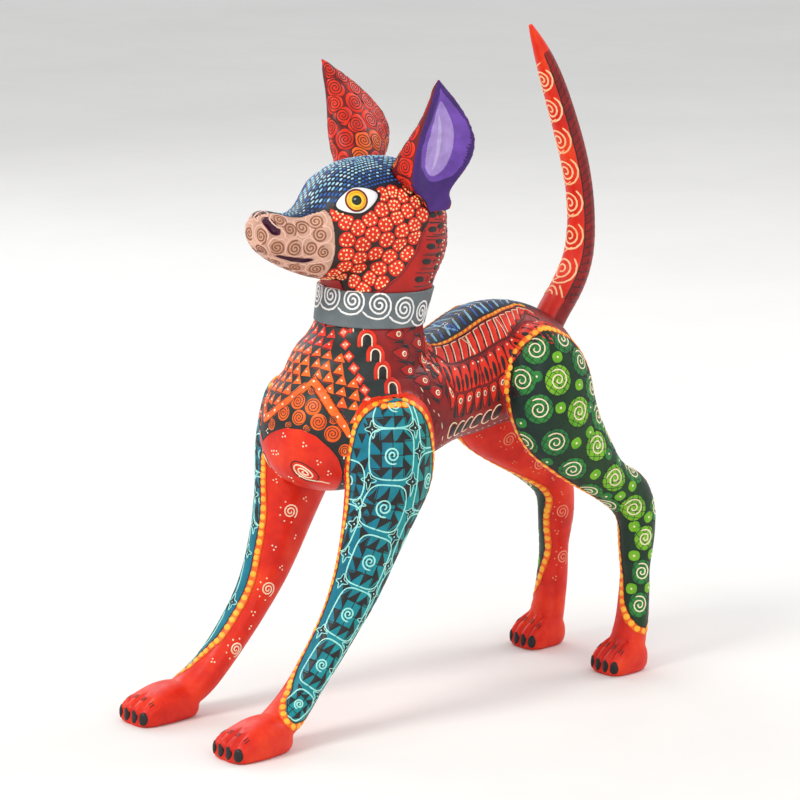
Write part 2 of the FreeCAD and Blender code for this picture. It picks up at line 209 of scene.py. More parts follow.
def store(name, co, faces, stuff, body=None, smooth=True):
    """Makes an object of a mesh given in mm. Unless it is stage, it rides on a body and has a slot."""
    mesh = bpy.data.meshes.new(name)
    mesh.from_pydata((np.asarray(co) * MM).tolist(), [], faces if isinstance(faces, list) else faces.tolist())
    mesh.polygons.foreach_set("use_smooth", [smooth] * len(mesh.polygons))
    mesh.update()
    mesh.materials.append(stuff)
    made = bpy.data.objects.new(name, mesh)
    bpy.context.scene.collection.objects.link(made)
    if body:
        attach(made, body)
    return made


def neighbours(quads, count):
    """A function that gives the mean place of each corner's neighbours."""
    start, end = quads.ravel(), np.roll(quads, -1, axis=1).ravel()
    degree = np.maximum(np.bincount(start, minlength=count), 1)[:, None]
    return lambda co: np.stack([np.bincount(start, co[end, k], count) for k in range(3)], 1) / degree


TAUBIN_STEPS = (0.55, -0.57)


def relax(co, quads, rounds):
    """Taubin smoothing of a closed quad mesh: it takes the steps out and keeps the volume."""
    mean = neighbours(quads, len(co))
    for _ in range(rounds):
        for step in TAUBIN_STEPS:
            co = co + step * (mean(co) - co)
    return co


def soften(co, quads, rounds, weight):
    """Plain smoothing where weight is above 0."""
    mean = neighbours(quads, len(co))
    for _ in range(rounds):
        co = co + 0.5 * weight[:, None] * (mean(co) - co)
    return co


def normals_of(co, quads):
    across = np.cross(co[quads[:, 2]] - co[quads[:, 0]], co[quads[:, 3]] - co[quads[:, 1]])
    total = np.zeros_like(co)
    for corner in range(4):
        for k in range(3):
            total[:, k] += np.bincount(quads[:, corner], across[:, k], len(co))
    return total / np.maximum(np.linalg.norm(total, axis=1, keepdims=True), 1e-12)


def remesh(nodes, voxel, rounds):
    """One closed quad skin round the CAD nodes, as (points in mm, quads)."""
    co, faces, count = [], [], 0
    for node in nodes:
        points, tri = read_mesh(node)
        co.append(points)
        faces.append(tri + count)
        count += len(points)
    mesh = bpy.data.meshes.new("rough")
    mesh.from_pydata((np.concatenate(co) * MM).tolist(), [], np.concatenate(faces).tolist())
    rough = bpy.data.objects.new("rough", mesh)
    bpy.context.scene.collection.objects.link(rough)
    modifier = rough.modifiers.new("voxels", "REMESH")
    modifier.mode, modifier.voxel_size = "VOXEL", voxel * MM
    graph = bpy.context.evaluated_depsgraph_get()
    done = bpy.data.meshes.new_from_object(rough.evaluated_get(graph))
    points = numbers(done.vertices, "co", 3, np.float32)
    corners = numbers(done.loops, "vertex_index", 1, np.int32)
    bpy.data.objects.remove(rough)
    bpy.data.meshes.remove(mesh)
    bpy.data.meshes.remove(done)
    points, quads = points.reshape(-1, 3).astype(float) / MM, corners.reshape(-1, 4)
    return relax(points, quads, rounds), quads


def lengths_along(path):
    """How far along a path each of its points lies."""
    return np.r_[0, np.cumsum(np.linalg.norm(np.diff(path, axis=0), axis=1))]


def on_path(path, lengths, at):
    """The place or places on a path at distances along it."""
    return np.stack([np.interp(at, lengths, path[:, k]) for k in range(path.shape[1])], -1)


def all_round(count):
    """Angles evenly round a full turn."""
    return np.linspace(0, 2 * math.pi, count, endpoint=False)


def touch(tree, p):
    """The place on a surface nearest to a point, and the normal there."""
    place, normal, _, _ = tree.find_nearest(Vector(p))
    return np.array(place), np.array(normal)


def seen(origin, way, reach, missed):
    """Where a ray first meets the skin, and the normal there, or the pair called missed."""
    place, normal, _, _ = skin_tree.ray_cast(origin, way, reach)
    return missed if place is None else (np.array(place), np.array(normal))


def tree_of(co, faces):
    return BVHTree.FromPolygons(co.tolist(), faces.tolist())


FAR, SEARCH = 99.0, 12.0


def distances(tree, points):
    """How far points lie from a surface, or FAR where that is over SEARCH."""
    far = np.full(len(points), FAR)
    for i, p in enumerate(points):
        hit = tree.find_nearest(p, SEARCH)
        if hit[3] is not None:
            far[i] = hit[3]
    return far


LEGS = ("front_left_leg", "front_right_leg", "rear_left_leg", "rear_right_leg")
CARVED = ("torso", "head") + LEGS
DOWELS = tuple(n for n in frame["nodes"] if n.endswith("_dowel"))
SKIN_VOXEL, QUICK_VOXEL = 0.7, 1.1
voxel = SKIN_VOXEL
skin, skin_quads = remesh(CARVED + DOWELS, voxel, 3)
part_trees = {n: tree_of(*read_mesh(n)) for n in CARVED}
nearest = {n: distances(part_trees[n], skin[skin_quads].mean(axis=1)) for n in CARVED}
names = list(nearest)
table = np.stack([nearest[n] for n in names])
label = table.argmin(axis=0)
ranked = np.sort(table, axis=0)
# The skin is softened most where two carved parts meet: 1 within 1.5 mm of the second part, 0 past 4 mm.
seam = np.zeros(len(skin))
np.maximum.at(seam, skin_quads.ravel(), np.repeat(np.clip(1.6 - ranked[1] / 2.5, 0, 1), 4))
skin = soften(skin, skin_quads, 8, np.clip(seam, 0, 1))
skin_normals = normals_of(skin, skin_quads)

# ---------------------------------------------------------------- carving: mouth, nostrils, eyes and toes

SIDES = {"left": 1, "right": -1}
HEAD_TURN, HEAD_PIVOT = math.radians(-3), -13


def head_place(x, v, z):
    """A place given in the head's own frame, which is turned a little to one side."""
    return (x * math.cos(HEAD_TURN) - v * math.sin(HEAD_TURN),
            HEAD_PIVOT + x * math.sin(HEAD_TURN) + v * math.cos(HEAD_TURN), z)


def distance_to(points, path):
    """Distance from points to a path, and how far along the path (0 to 1) the nearest place is."""
    path = np.array(path, float)
    best, where = np.full(len(points), 1e9), np.zeros(len(points))
    for k in range(len(path) - 1):
        a, b = path[k], path[k + 1]
        t = np.clip((points - a) @ (b - a) / ((b - a) @ (b - a)), 0, 1)
        d = np.linalg.norm(points - a - t[:, None] * (b - a), axis=1)
        closer = d < best
        best[closer], where[closer] = d[closer], (k + t[closer]) / (len(path) - 1)
    return best, where


def carve(path, width, depth, taper=0.25):
    """A V-shaped cut along a path: it pushes the skin in along its normals."""
    global skin
    d, t = distance_to(skin, path)
    fade = np.clip(np.minimum(t, 1 - t) / taper, 0.25, 1)
    shape = np.clip(1 - d / width, 0, 1) ** 1.3
    skin = skin - skin_normals * (depth * fade * shape)[:, None]


MOUTH = [(5.0, -45.6, 168.0), (6.4, -43.6, 167.5), (7.9, -39.9, 166.5), (9.3, -35.3, 165.7), (10.8, -31.0, 166.0)]
NOSTRIL = [(3.4, -49.3, 181.2), (5.8, -48.4, 179.6), (7.7, -47.0, 177.2), (8.6, -44.6, 175.6)]
LIP = [(-3.0, -48.6, 168.8), (0.0, -49.6, 168.9), (3.0, -48.6, 168.8)]
EYE, EYE_FRONT, EYE_BACK = (14.9, -17.0, 186.0), (12.0, -24.0, 183.3), (17.2, -9.3, 187.0)
LID_TALL, LID_LONG, LID_EDGE, BALL_RADIUS = 5.2, 8.2, 2.2, 6
TOE_GROOVE = [(12, 14.5), (7, 11.5), (2, 8.0), (-0.5, 3.0), (-0.5, 0.0)]
TOES = []


def eye_frame(side, lean):
    """The middle of an eye, its long direction and its tall one, which leans sideways."""
    middle = np.array(head_place(side * EYE[0], *EYE[1:]))
    ends = [np.array(head_place(side * p[0], *p[1:])) for p in (EYE_FRONT, EYE_BACK)]
    long = (ends[1] - ends[0]) / np.linalg.norm(ends[1] - ends[0])
    tall = np.array([lean * side, 0.0, 1.0])
    tall -= long * (tall @ long)
    return middle, long, tall / np.linalg.norm(tall)


for side in SIDES.values():
    carve([head_place(side * x, v, z) for x, v, z in MOUTH], 1.3, 1.3)
    carve([head_place(side * x, v, z) for x, v, z in NOSTRIL], 2.0, 1.9)
    middle, long, tall = eye_frame(side, 0.25)
    u, v = (skin - middle) @ long, (skin - middle) @ tall
    near = np.linalg.norm(skin - middle, axis=1) < 14
    # The lids swell as an almond with a soft edge, and the ball rises a little more in their middle.
    lid = LID_TALL * np.clip(1 - (np.abs(u) / LID_LONG) ** 1.9, 0, 1)
    swell = np.clip((lid + 0.5 - np.abs(v)) / LID_EDGE, 0, 1) * near * (np.abs(u) < LID_LONG + 0.4)
    ball = np.clip(1 - (u ** 2 + v ** 2) / BALL_RADIUS ** 2, 0, 1)
    skin = skin + skin_normals * (0.55 * swell * swell * (3 - 2 * swell) + 0.5 * ball * near)[:, None]
carve([head_place(*p) for p in LIP], 0.9, 0.7)
skin_normals = normals_of(skin, skin_quads)
PAW_TOP, REAR_HEEL = 9, 97
for leg, deep in (("front", 1.9), ("rear", 1.5)):
    for name, side in SIDES.items():
        paw = read_mesh(f"{leg}_{name}_leg")[0]
        paw = paw[paw[:, 2] < PAW_TOP]
        if leg == "rear":
            paw = paw[paw[:, 1] < REAR_HEEL]
        front = paw[:, 1].min()
        tip = paw[paw[:, 1] < front + 8]
        middle = (tip[:, 0].min() + tip[:, 0].max()) / 2
        wide = (tip[:, 0].max() - tip[:, 0].min()) / 2
        TOES.append((leg, side, middle, wide, front))
        for share in (-0.5, 0.0, 0.5):
            x = middle + share * wide
            groove = [(x, front + y, z) for y, z in TOE_GROOVE]
            carve(groove, 1.5, deep, 0.2)
skin_normals = normals_of(skin, skin_quads)

# ---------------------------------------------------------------- charts: the skin unrolled round a spine


BATCH = 4000  # points looked up at a time
NEARNESS = 0.08  # how much a near part of a bent spine is preferred to a far one


class Chart:
    """The skin round a spine, unrolled, in mm: s runs along the spine, a round it from the side called zero."""

    def __init__(self, skin_tree, spine, zero, reach=30.0, step=1.0, turns=72, even=3, arcs=None, inward=False):
        spine = np.array(spine, float)
        lengths = lengths_along(spine)
        self.skin, self.step, self.reach, self.length = skin_tree, step, reach, lengths[-1]
        self.inward = inward
        self.s = np.arange(0, lengths[-1] + 0.01, step)
        self.origin = on_path(spine, lengths, self.s)
        for _ in range(4):
            self.origin[1:-1] = (self.origin[:-2] + 2 * self.origin[1:-1] + self.origin[2:]) / 4
        self.along = np.gradient(self.origin, axis=0)
        self.along /= np.linalg.norm(self.along, axis=1, keepdims=True)
        first = np.array(zero, float) - (self.along @ np.array(zero, float))[:, None] * self.along
        self.first = first / np.linalg.norm(first, axis=1, keepdims=True)
        self.second = np.cross(self.along, self.first)
        self.angle = np.linspace(-math.pi, math.pi, turns + 1)
        radius = np.full((len(self.s), turns + 1), np.nan)
        for i in range(len(self.s)):
            for j, t in enumerate(self.angle):
                way = math.cos(t) * self.first[i] + math.sin(t) * self.second[i]
                hit = self.cast(arcs or skin_tree, self.origin[i], way)
                if hit[0] is not None:
                    radius[i, j] = reach - hit[3] if inward else hit[3]
            known = ~np.isnan(radius[i])
            if known.any():
                radius[i] = np.interp(self.angle, self.angle[known], radius[i, known])
        good = ~np.isnan(radius[:, 0])
        for j in range(turns + 1):
            radius[:, j] = np.interp(self.s, self.s[good], radius[good, j])
        ring = self.origin[:, None] + radius[..., None] * (
            np.cos(self.angle)[None, :, None] * self.first[:, None]
            + np.sin(self.angle)[None, :, None] * self.second[:, None])
        steps = np.linalg.norm(np.diff(ring, axis=1), axis=2)
        arc = np.concatenate([np.zeros((len(self.s), 1)), np.cumsum(steps, axis=1)], axis=1)
        arc -= arc[:, turns // 2][:, None]
        kernel = np.ones(2 * even + 1) / (2 * even + 1)
        padded = np.pad(arc, ((even, even), (0, 0)), mode="edge")
        self.arc = np.stack([np.convolve(padded[:, j], kernel, "valid") for j in range(turns + 1)], 1)
        self.radius = radius

    def cast(self, tree, origin, way):
        """The first hit outwards from the spine, or inwards from outside for a hollow piece."""
        if self.inward:
            return tree.ray_cast(origin + self.reach * way, -way, self.reach)
        return tree.ray_cast(origin, way, self.reach)

    def at(self, s, a):
        """The skin point and normal at (s, a)."""
        f = min(max(s / self.step, 0), len(self.s) - 1.001)
        i, f = int(f), f - int(f)
        arc = (1 - f) * self.arc[i] + f * self.arc[i + 1]
        t = float(np.interp(a, arc, self.angle))
        origin, first, second, along = ((1 - f) * v[i] + f * v[i + 1]
                                        for v in (self.origin, self.first, self.second, self.along))
        way = math.cos(t) * first + math.sin(t) * second
        beyond = s - min(max(s, 0), self.s[-1])
        origin = origin + beyond * along
        hit = self.cast(self.skin, origin, way)
        if hit[0] is None:
            reach = float(np.interp(t, self.angle, self.radius[i]))
            hit = self.skin.find_nearest(origin + reach * way)
        return np.array(hit[0]), np.array(hit[1])

    def find(self, points):
        """(s, a) of skin points."""
        points = np.asarray(points, float)
        s, a = np.empty(len(points)), np.empty(len(points))
        for start in range(0, len(points), BATCH):
            now = slice(start, start + BATCH)
            p = points[now]
            apart = p[:, None] - self.origin[None]
            off = np.einsum("ijk,jk->ij", apart, self.along)
            far = np.linalg.norm(apart, axis=2)
            i = (np.abs(off) + NEARNESS * far).argmin(axis=1)
            rows = np.arange(len(p))
            d = apart[rows, i]
            t = np.arctan2((d * self.second[i]).sum(1), (d * self.first[i]).sum(1))
            j = np.clip((t + math.pi) / (2 * math.pi) * (len(self.angle) - 1), 0, len(self.angle) - 1.001)
            k = j.astype(int)
            s[now] = self.s[i] + off[rows, i]
            a[now] = self.arc[i, k] * (1 - (j - k)) + self.arc[i, k + 1] * (j - k)
        return s, a


def slices(node, way, start, end, count):
    """Middles of a CAD node's slices across an axis, as a spine."""
    co, _ = read_mesh(node)
    way = np.array(way, float) / np.linalg.norm(way)
    height, found = co @ way, []
    for level in np.linspace(start, end, count):
        near = co[np.abs(height - level) < abs(end - start) / count * 0.6]
        if len(near) > 5:
            found.append((near.min(axis=0) + near.max(axis=0)) / 2)
    return found


skin_tree = tree_of(skin, skin_quads)

# ---------------------------------------------------------------- paint: domed patches, dots and ribbons

buckets = {}


def put(key, points, faces):
    """Adds a small closed mesh to the object for that body, place and colour."""
    co, made = buckets.setdefault(key, ([], []))
    start = len(co)
    co.extend(points)
    made.extend([[start + i for i in face] for face in faces])


# How deep the edges of each kind of mark lie under the surface, and how deep its underside reaches.
PATCH_SUNK, PATCH_ROOT = 0.03, 0.3
DOT_SUNK, DOT_ROOT = 0.04, 0.25
LINE_SUNK, LINE_ROOT = 0.04, 0.22
STEP, WOBBLE = 0.55, 0.05  # of a line: the length of its segments, and how much its width varies


def patch(where, outline, high, key, bevel=0.25, coarse=1.3):
    """A closed patch of paint inside a star-shaped outline of chart points."""
    outline = np.array(outline, float)
    centre = outline.mean(axis=0)
    size = np.linalg.norm(outline - centre, axis=1).max()
    inner = max(1.0 - bevel / size, 0.4)
    count = max(1, math.ceil(size * inner / coarse))
    rings = [(1.0, -PATCH_SUNK)] + [(inner * k / count, high) for k in range(count, 0, -1)]
    points, n = [], len(outline)
    for scale, lift in rings:
        for q in centre + (outline - centre) * scale:
            p, normal = where(*q)
            points.append(p + normal * lift)
    p, normal = where(*centre)
    points += [p + normal * high, p - normal * PATCH_ROOT]
    top, bottom = len(points) - 2, len(points) - 1
    faces = []
    for r in range(len(rings) - 1):
        for i in range(n):
            j = (i + 1) % n
            faces.append([r * n + i, r * n + j, (r + 1) * n + j, (r + 1) * n + i])
    last = (len(rings) - 1) * n
    for i in range(n):
        j = (i + 1) % n
        faces.append([last + i, last + j, top])
        faces.append([j, i, bottom])
    put(key, points, faces)


def oval(s, a, half_s, half_a, turn=0.0, n=14):
    c, d = math.cos(turn), math.sin(turn)
    return [(s + c * half_s * math.cos(t) - d * half_a * math.sin(t),
             a + d * half_s * math.cos(t) + c * half_a * math.sin(t))
            for t in all_round(n)]


def dot(where, s, a, r, key, high=0.2, n=9):
    """A single drop of paint."""
    middle, normal = where(s, a)
    side = np.cross(normal, [0.31, 0.17, 0.93])
    side /= np.linalg.norm(side)
    up = np.cross(normal, side)
    wide = r * rng.uniform(0.92, 1.08)
    points = []
    for scale, lift in ((1.0, -DOT_SUNK), (0.8, high * 0.75), (0.4, high)):
        for t in range(n):
            turn = 2 * math.pi * t / n
            points.append(middle + (math.cos(turn) * side + math.sin(turn) * up) * wide * scale + normal * lift)
    points += [middle + normal * (high * 1.05), middle - normal * DOT_ROOT]
    faces = []
    for ring in range(2):
        for i in range(n):
            j = (i + 1) % n
            faces.append([ring * n + i, ring * n + j, (ring + 1) * n + j, (ring + 1) * n + i])
    for i in range(n):
        j = (i + 1) % n
        faces.append([2 * n + i, 2 * n + j, 3 * n])
        faces.append([j, i, 3 * n + 1])
    put(key, points, faces)


def line(where, path, width, high, key, closed=False, ends=0.6):
    """A ribbon of paint along chart points, thin at its ends where the brush leaves."""
    path = np.array(path, float)
    if closed:
        path = np.vstack([path, path[:1]])
    lengths = lengths_along(path)
    count = max(3, int(lengths[-1] / STEP) + 1)
    at = np.linspace(0, lengths[-1], count + 1)
    if closed:
        at = at[:-1]
    found = [where(*q) for q in on_path(path, lengths, at)]
    middle, normal = np.array([f[0] for f in found]), np.array([f[1] for f in found])
    if closed:
        along = np.roll(middle, -1, axis=0) - np.roll(middle, 1, axis=0)
    else:
        along = np.gradient(middle, axis=0)
    side = np.cross(normal, along)
    side /= np.maximum(np.linalg.norm(side, axis=1, keepdims=True), 1e-9)
    half = np.full(len(at), width / 2)
    if not closed:
        half *= np.clip(0.35 + np.minimum(at, lengths[-1] - at) / ends, 0.35, 1)
    half = (half * (1 + np.array([rng.uniform(-WOBBLE, WOBBLE) * 2 for _ in at])))[:, None]
    points = np.stack([middle - side * half - normal * LINE_SUNK,
                       middle - side * half * 0.55 + normal * high,
                       middle + side * half * 0.55 + normal * high,
                       middle + side * half - normal * LINE_SUNK,
                       middle - normal * LINE_ROOT], 1)
    n, faces = len(at), []
    for i in range(n if closed else n - 1):
        j = (i + 1) % n
        for k in range(5):
            m = (k + 1) % 5
            faces.append([i * 5 + m, i * 5 + k, j * 5 + k, j * 5 + m])
    if not closed:
        faces.append([0, 1, 2, 3, 4])
        faces.append([(n - 1) * 5 + k for k in (4, 3, 2, 1, 0)])
    put(key, list(points.reshape(-1, 3)), faces)


def curl(s, a, r, turns=2.3, start=0.0, hand=1, squeeze=1.0, inner=0.12, lean=0.0):
    """A spiral drawn from outside in, as chart points."""
    made = []
    for t in np.linspace(0, 1, int(14 * turns)):
        turn = start + hand * t * turns * 2 * math.pi
        now = r * (1 - (1 - inner) * t ** 0.9)
        x, y = now * math.cos(turn) * squeeze, now * math.sin(turn)
        made.append((s + x * math.cos(lean) - y * math.sin(lean), a + x * math.sin(lean) + y * math.cos(lean)))
    return made


def sided(chart, side):
    """The chart's left half as it is, or its right half mirrored."""
    return lambda s, a: chart.at(s, side * a)


# ---------------------------------------------------------------- colours

COLOURS = {
    "yellow": ((0.95, 0.38, 0.02), (1.0, 0.55, 0.05)),
    "orange": ((0.80, 0.085, 0.006), (0.95, 0.17, 0.012)),
    "red": ((0.30, 0.004, 0.003), (0.52, 0.010, 0.005)),
    "bright_red": ((0.62, 0.012, 0.003), (0.85, 0.035, 0.006)),
    "deep_red": ((0.13, 0.004, 0.006), (0.25, 0.008, 0.008)),
    "black": ((0.010, 0.010, 0.011), (0.022, 0.018, 0.018)),
    "cream": ((0.86, 0.66, 0.42), (0.98, 0.86, 0.66)),
    "white": ((0.80, 0.80, 0.78), (0.92, 0.92, 0.90)),
    "pink": ((0.80, 0.22, 0.12), (0.90, 0.36, 0.22)),
    "aqua": ((0.28, 0.72, 0.66), (0.48, 0.90, 0.80)),
    "green": ((0.006, 0.13, 0.035), (0.025, 0.26, 0.03)),
    "lime": ((0.09, 0.34, 0.008), (0.22, 0.52, 0.012)),
    "blue": ((0.012, 0.08, 0.36), (0.03, 0.16, 0.56)),
    "sky": ((0.18, 0.50, 0.76), (0.40, 0.74, 0.90)),
    "brown": ((0.22, 0.075, 0.030), (0.33, 0.12, 0.055)),
    "plum": ((0.030, 0.002, 0.012), (0.06, 0.005, 0.030)),
    "white_blue": ((0.42, 0.66, 0.80), (0.62, 0.82, 0.90)),
    "blush": ((0.72, 0.40, 0.31), (0.82, 0.52, 0.42)),
    "buff": ((0.90, 0.62, 0.26), (1.0, 0.82, 0.46)),
    "brown_red": ((0.14, 0.012, 0.006), (0.22, 0.022, 0.010)),
    "amber": ((0.72, 0.22, 0.0), (0.85, 0.32, 0.01)),
    "pupil": ((0.006, 0.014, 0.010), (0.014, 0.030, 0.022)),
    "glint": ((0.22, 0.28, 0.30), (0.34, 0.40, 0.42)),
    "ear_line": ((0.020, 0.006, 0.006), (0.045, 0.010, 0.008)),
    "peach": ((0.92, 0.46, 0.20), (1.0, 0.66, 0.38)),
    "iris": ((0.85, 0.36, 0.0), (0.98, 0.62, 0.04)),
}
inks = {}


def ink(name):
    if name not in inks:
        inks[name] = material(f"paint_{name}", brushed(*COLOURS[name]), rough=(0.38, 0.52), coat=0.03, spec=0.32,
                              bump=0.05, grain=700.0)
    return inks[name]


DRIFT_SCALE, FLECK_SCALE = 70.0, 240.0


def field(name, base, over=(), **more):
    """The paint of a carved piece: base tones, with other tones where the named attributes are above 0."""
    def paint(tree):
        drift = noise(tree, DRIFT_SCALE, 5.0, 0.6)
        colour = ramp(tree, drift, base)
        for what, stops, shade in over:
            tone = ramp(tree, attribute(tree, shade) if shade else drift, stops)
            fleck = spread(tree, noise(tree, FLECK_SCALE, 3.0), 0.3, 0.7, 0.75, 1.12, "LINEAR")
            dark = tree.nodes.new("ShaderNodeHueSaturation")
            tree.links.new(tone, dark.inputs["Color"])
            tree.links.new(fleck, dark.inputs["Value"])
            edge = spread(tree, attribute(tree, what), -0.12, 0.12)
            colour = mix(tree, edge, colour, dark.outputs["Color"])
        return colour
    return material(name, paint, rough=(0.38, 0.54), coat=0.04, spec=0.32, **more)


RED_WOOD = [(0.25, (0.46, 0.004, 0.001)), (0.5, (0.70, 0.018, 0.002)), (0.75, (0.84, 0.055, 0.004))]

# ---------------------------------------------------------------- spines and charts

BODY_SPINE = [(0, -52, 106), (0, -40, 110), (0, -20, 112), (0, 0, 110), (0, 20, 108), (0, 40, 112), (0, 60, 119),
              (0, 74, 123)]
NECK_SPINE = [(0, -30, 92), (0, -25, 110), (0, -20, 125), (0, -15, 140), (0, -12, 152), (0, -9, 165)]
HEAD_SPINE = [head_place(0, v, z) for v, z in ((-48, 180), (-40, 179), (-30, 179), (-20, 178), (-10, 177),
                                               (0, 177), (10, 176), (20, 172))]
body_chart = Chart(skin_tree, BODY_SPINE, (0, 0, 1), reach=45, arcs=part_trees["torso"])
neck_chart = Chart(skin_tree, NECK_SPINE, (0, -1, 0), reach=45)
head_chart = Chart(skin_tree, HEAD_SPINE, (0, 0, 1), reach=32)

leg_charts = {}
for name, side in SIDES.items():
    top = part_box(f"front_{name}_leg")[1].z / MM
    spine = slices(f"front_{name}_leg", (0, 0, 1), top - 7, 12, 22)
    leg_charts[f"front_{name}"] = Chart(skin_tree, spine, (side, 0, 0), reach=16)
    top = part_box(f"rear_{name}_leg")[1].z / MM
    spine = slices(f"rear_{name}_leg", (0, 0, 1), top - 7, 5, 26)
    leg_charts[f"rear_{name}"] = Chart(skin_tree, spine, (side, 0, 0), reach=20)


def outline_distance(u, v, outline):
    """Signed distance of chart points to an outline, above 0 inside it."""
    outline = np.array(outline, float)
    best, inside = np.full(len(u), 1e9), np.zeros(len(u), bool)
    for (x0, y0), (x1, y1) in zip(outline, np.roll(outline, -1, axis=0)):
        dx, dy = x1 - x0, y1 - y0
        t = np.clip(((u - x0) * dx + (v - y0) * dy) / max(dx * dx + dy * dy, 1e-9), 0, 1)
        best = np.minimum(best, np.hypot(u - x0 - t * dx, v - y0 - t * dy))
        if dy:
            crossing = ((y0 > v) != (y1 > v)) & (u < (v - y0) / dy * dx + x0)
            inside ^= crossing
    return np.where(inside, best, -best)


# ---------------------------------------------------------------- surfaces: where each ground colour lies

FRONT_FIELD = [(-7.5, 2), (-7, 10), (-5.4, 15.5), (-2.7, 18.4), (0, 20.1), (2.9, 21.9), (6.7, 23.2), (12.6, 24.4),
               (21, 24.5), (31, 23), (45, 20.5), (60, 17.5), (75, 15.2), (88, 13.6), (97, 12.4), (106, 9.4),
               (113, 6.3), (117, 2.7), (118.6, -1), (117.5, -4), (112, -6.5), (100, -8), (80, -10), (60, -12),
               (40, -14.5), (22, -15.5), (12, -13), (3, -9.6), (-2.6, -7.5), (-5, -5), (-6.6, -1)]
REAR_FIELD = [(-5.8, 6), (-5.3, 9.7), (-4.6, 12.3), (-3.3, 14.8), (-1.6, 16.9), (0.6, 18.6), (3.3, 19.9),
              (7.2, 21.6), (11.2, 23.1), (15.4, 24.1), (20, 24.6), (26, 24.0), (31, 22.4), (35.3, 20.3), (38, 18.2),
              (42.5, 15.4), (48.5, 13.4), (56, 12.8), (66, 13.0), (76, 13.2), (86, 13.0), (96, 12.2), (105, 11.1),
              (112.3, 9.4), (119.7, 8), (125, 5.4), (128, 1.8), (128.3, -2.6), (126, -6), (118, -8.5), (104, -10.5),
              (88, -12), (74, -14.5), (60, -18), (46, -20.5), (32, -21), (18, -19), (8, -15), (1, -10), (-3, -4),
              (-5, 1)]
CAP_EDGE = [(0, 3.0), (6, 3.6), (12, 5.2), (17, 7.2), (21, 10.6), (25, 14.2), (28, 16.8), (31, 18.0), (35, 18.4),
            (40, 18.0), (48, 18.6), (54, 19.0), (60, 14.0), (66, 0)]
MUZZLE_EDGE = [(0, 12), (5, 16), (8.5, 19.5), (12, 21.2), (16, 22.0), (24, 22.8), (30, 23.6), (37, 24.0), (45, 24.5),
               (60, 24.5)]
CHEEK_REAR = [(0, 60), (16, 55.5), (22, 57.0), (30, 58.0), (38, 57.0), (45, 54.0), (50, 49.0), (54, 42.0), (58, 34),
              (62, 26.0), (70, 20)]


def edge(points, at):
    return np.interp(at, [p[0] for p in points], [p[1] for p in points])


head_s, head_a = head_chart.find(skin)
head_b = np.abs(head_a)
neck_s, neck_a = neck_chart.find(skin)
neck_b = np.abs(neck_a)
body_s, body_a = body_chart.find(skin)
body_b = np.abs(body_a)
DOME = [(-60, -40), (-42, -18), (-37, -7), (-33, -2.5), (-29, 2), (-24, 5.5), (-18, 7.5), (-14, 6), (-10, 2.5),
        (-8.3, 0.8), (-6.8, 1.9), (-2.6, 4.5), (5.1, 7.7), (11.9, 8.5), (17.6, 7.4), (23.1, 4), (25.6, 1.5),
        (27.6, -1.9), (31, -6.1), (36, -18), (60, -40)]
CHAIN = [(20, 46), (28, 38.0), (33.5, 31.0), (39.4, 24.5), (44, 19.0), (52, 14.0), (60, 10)]
ROPE = [(48, 9.0), (56, 9.2), (66, 9.4), (80, 9.8), (96, 9.8), (106, 7.5), (112, 4.4), (117, 1.4), (120, 0)]
grounds = {
    "cap": edge(CAP_EDGE, head_s) - head_b,
    "muzzle": np.minimum(edge(MUZZLE_EDGE, head_b) - head_s, 60),
    "cheek": np.minimum(edge(CHEEK_REAR, head_b) - head_s, 59 - head_b),
    "chest": np.minimum(np.minimum(neck_s - edge(DOME, neck_a), edge(CHAIN, neck_s) - neck_b), 52 - neck_s),
    "band": np.minimum(edge(ROPE, body_s) - body_b, body_s - 50),
    "flank": np.minimum(np.minimum(66 - body_b, 170 - body_s), neck_b - edge(CHAIN, neck_s)),
}
LEG_X, OFF_FIELD = 26, -5.0
for leg, outline in (("front", FRONT_FIELD), ("rear", REAR_FIELD)):
    field_depth = np.full(len(skin), OFF_FIELD)
    shade = np.zeros(len(skin))
    for name, side in SIDES.items():
        near = np.abs(skin[:, 0] - side * LEG_X) < LEG_X
        s, a = leg_charts[f"{leg}_{name}"].find(skin[near])
        field_depth[near] = outline_distance(s, side * a, outline)
        shade[near] = np.clip(0.5 - side * a / 36, 0, 1) if leg == "front" else np.clip(
            1 - np.abs(side * a + 1) / 19 - 0.2 * np.cos(s / 16), 0, 1)
    grounds[f"{leg}_field"] = field_depth
    grounds[f"{leg}_shade"] = shade

grounds["head_side"], grounds["tip"] = head_a, head_s

SKIN_PAINT = {
    "torso": field("painted_torso", RED_WOOD, [
        ("flank", tones((0.14, 0.003, 0.004), (0.34, 0.008, 0.006)), None),
        ("chest", tones((0.010, 0.014, 0.014), (0.022, 0.034, 0.030)), None),
        ("band", tones((0.010, 0.011, 0.018), (0.022, 0.025, 0.040)), None)]),
    "head": field("painted_head_wood", tones((0.26, 0.006, 0.005), (0.52, 0.014, 0.006)), [
        ("cheek", tones((0.014, 0.010, 0.010), (0.035, 0.016, 0.012)), None),
        ("muzzle", tones((0.56, 0.30, 0.21), (0.68, 0.41, 0.30)), None),
        ("cap", tones((0.008, 0.010, 0.022), (0.016, 0.022, 0.045)), None)]),
    "front": field("painted_front_leg", RED_WOOD, [
        ("front_field", [(0.2, (0.0, 0.17, 0.25)), (0.5, (0.0, 0.27, 0.29)), (0.85, (0.003, 0.24, 0.20))],
         "front_shade")]),
    "rear": field("painted_rear_leg", RED_WOOD, [
        ("rear_field", [(0.1, (0.002, 0.020, 0.016)), (0.5, (0.003, 0.026, 0.010)), (0.95, (0.006, 0.040, 0.008))],
         "rear_shade")]),
}


DEEPEST = 6  # mm: the signed distances on the vertices stop here


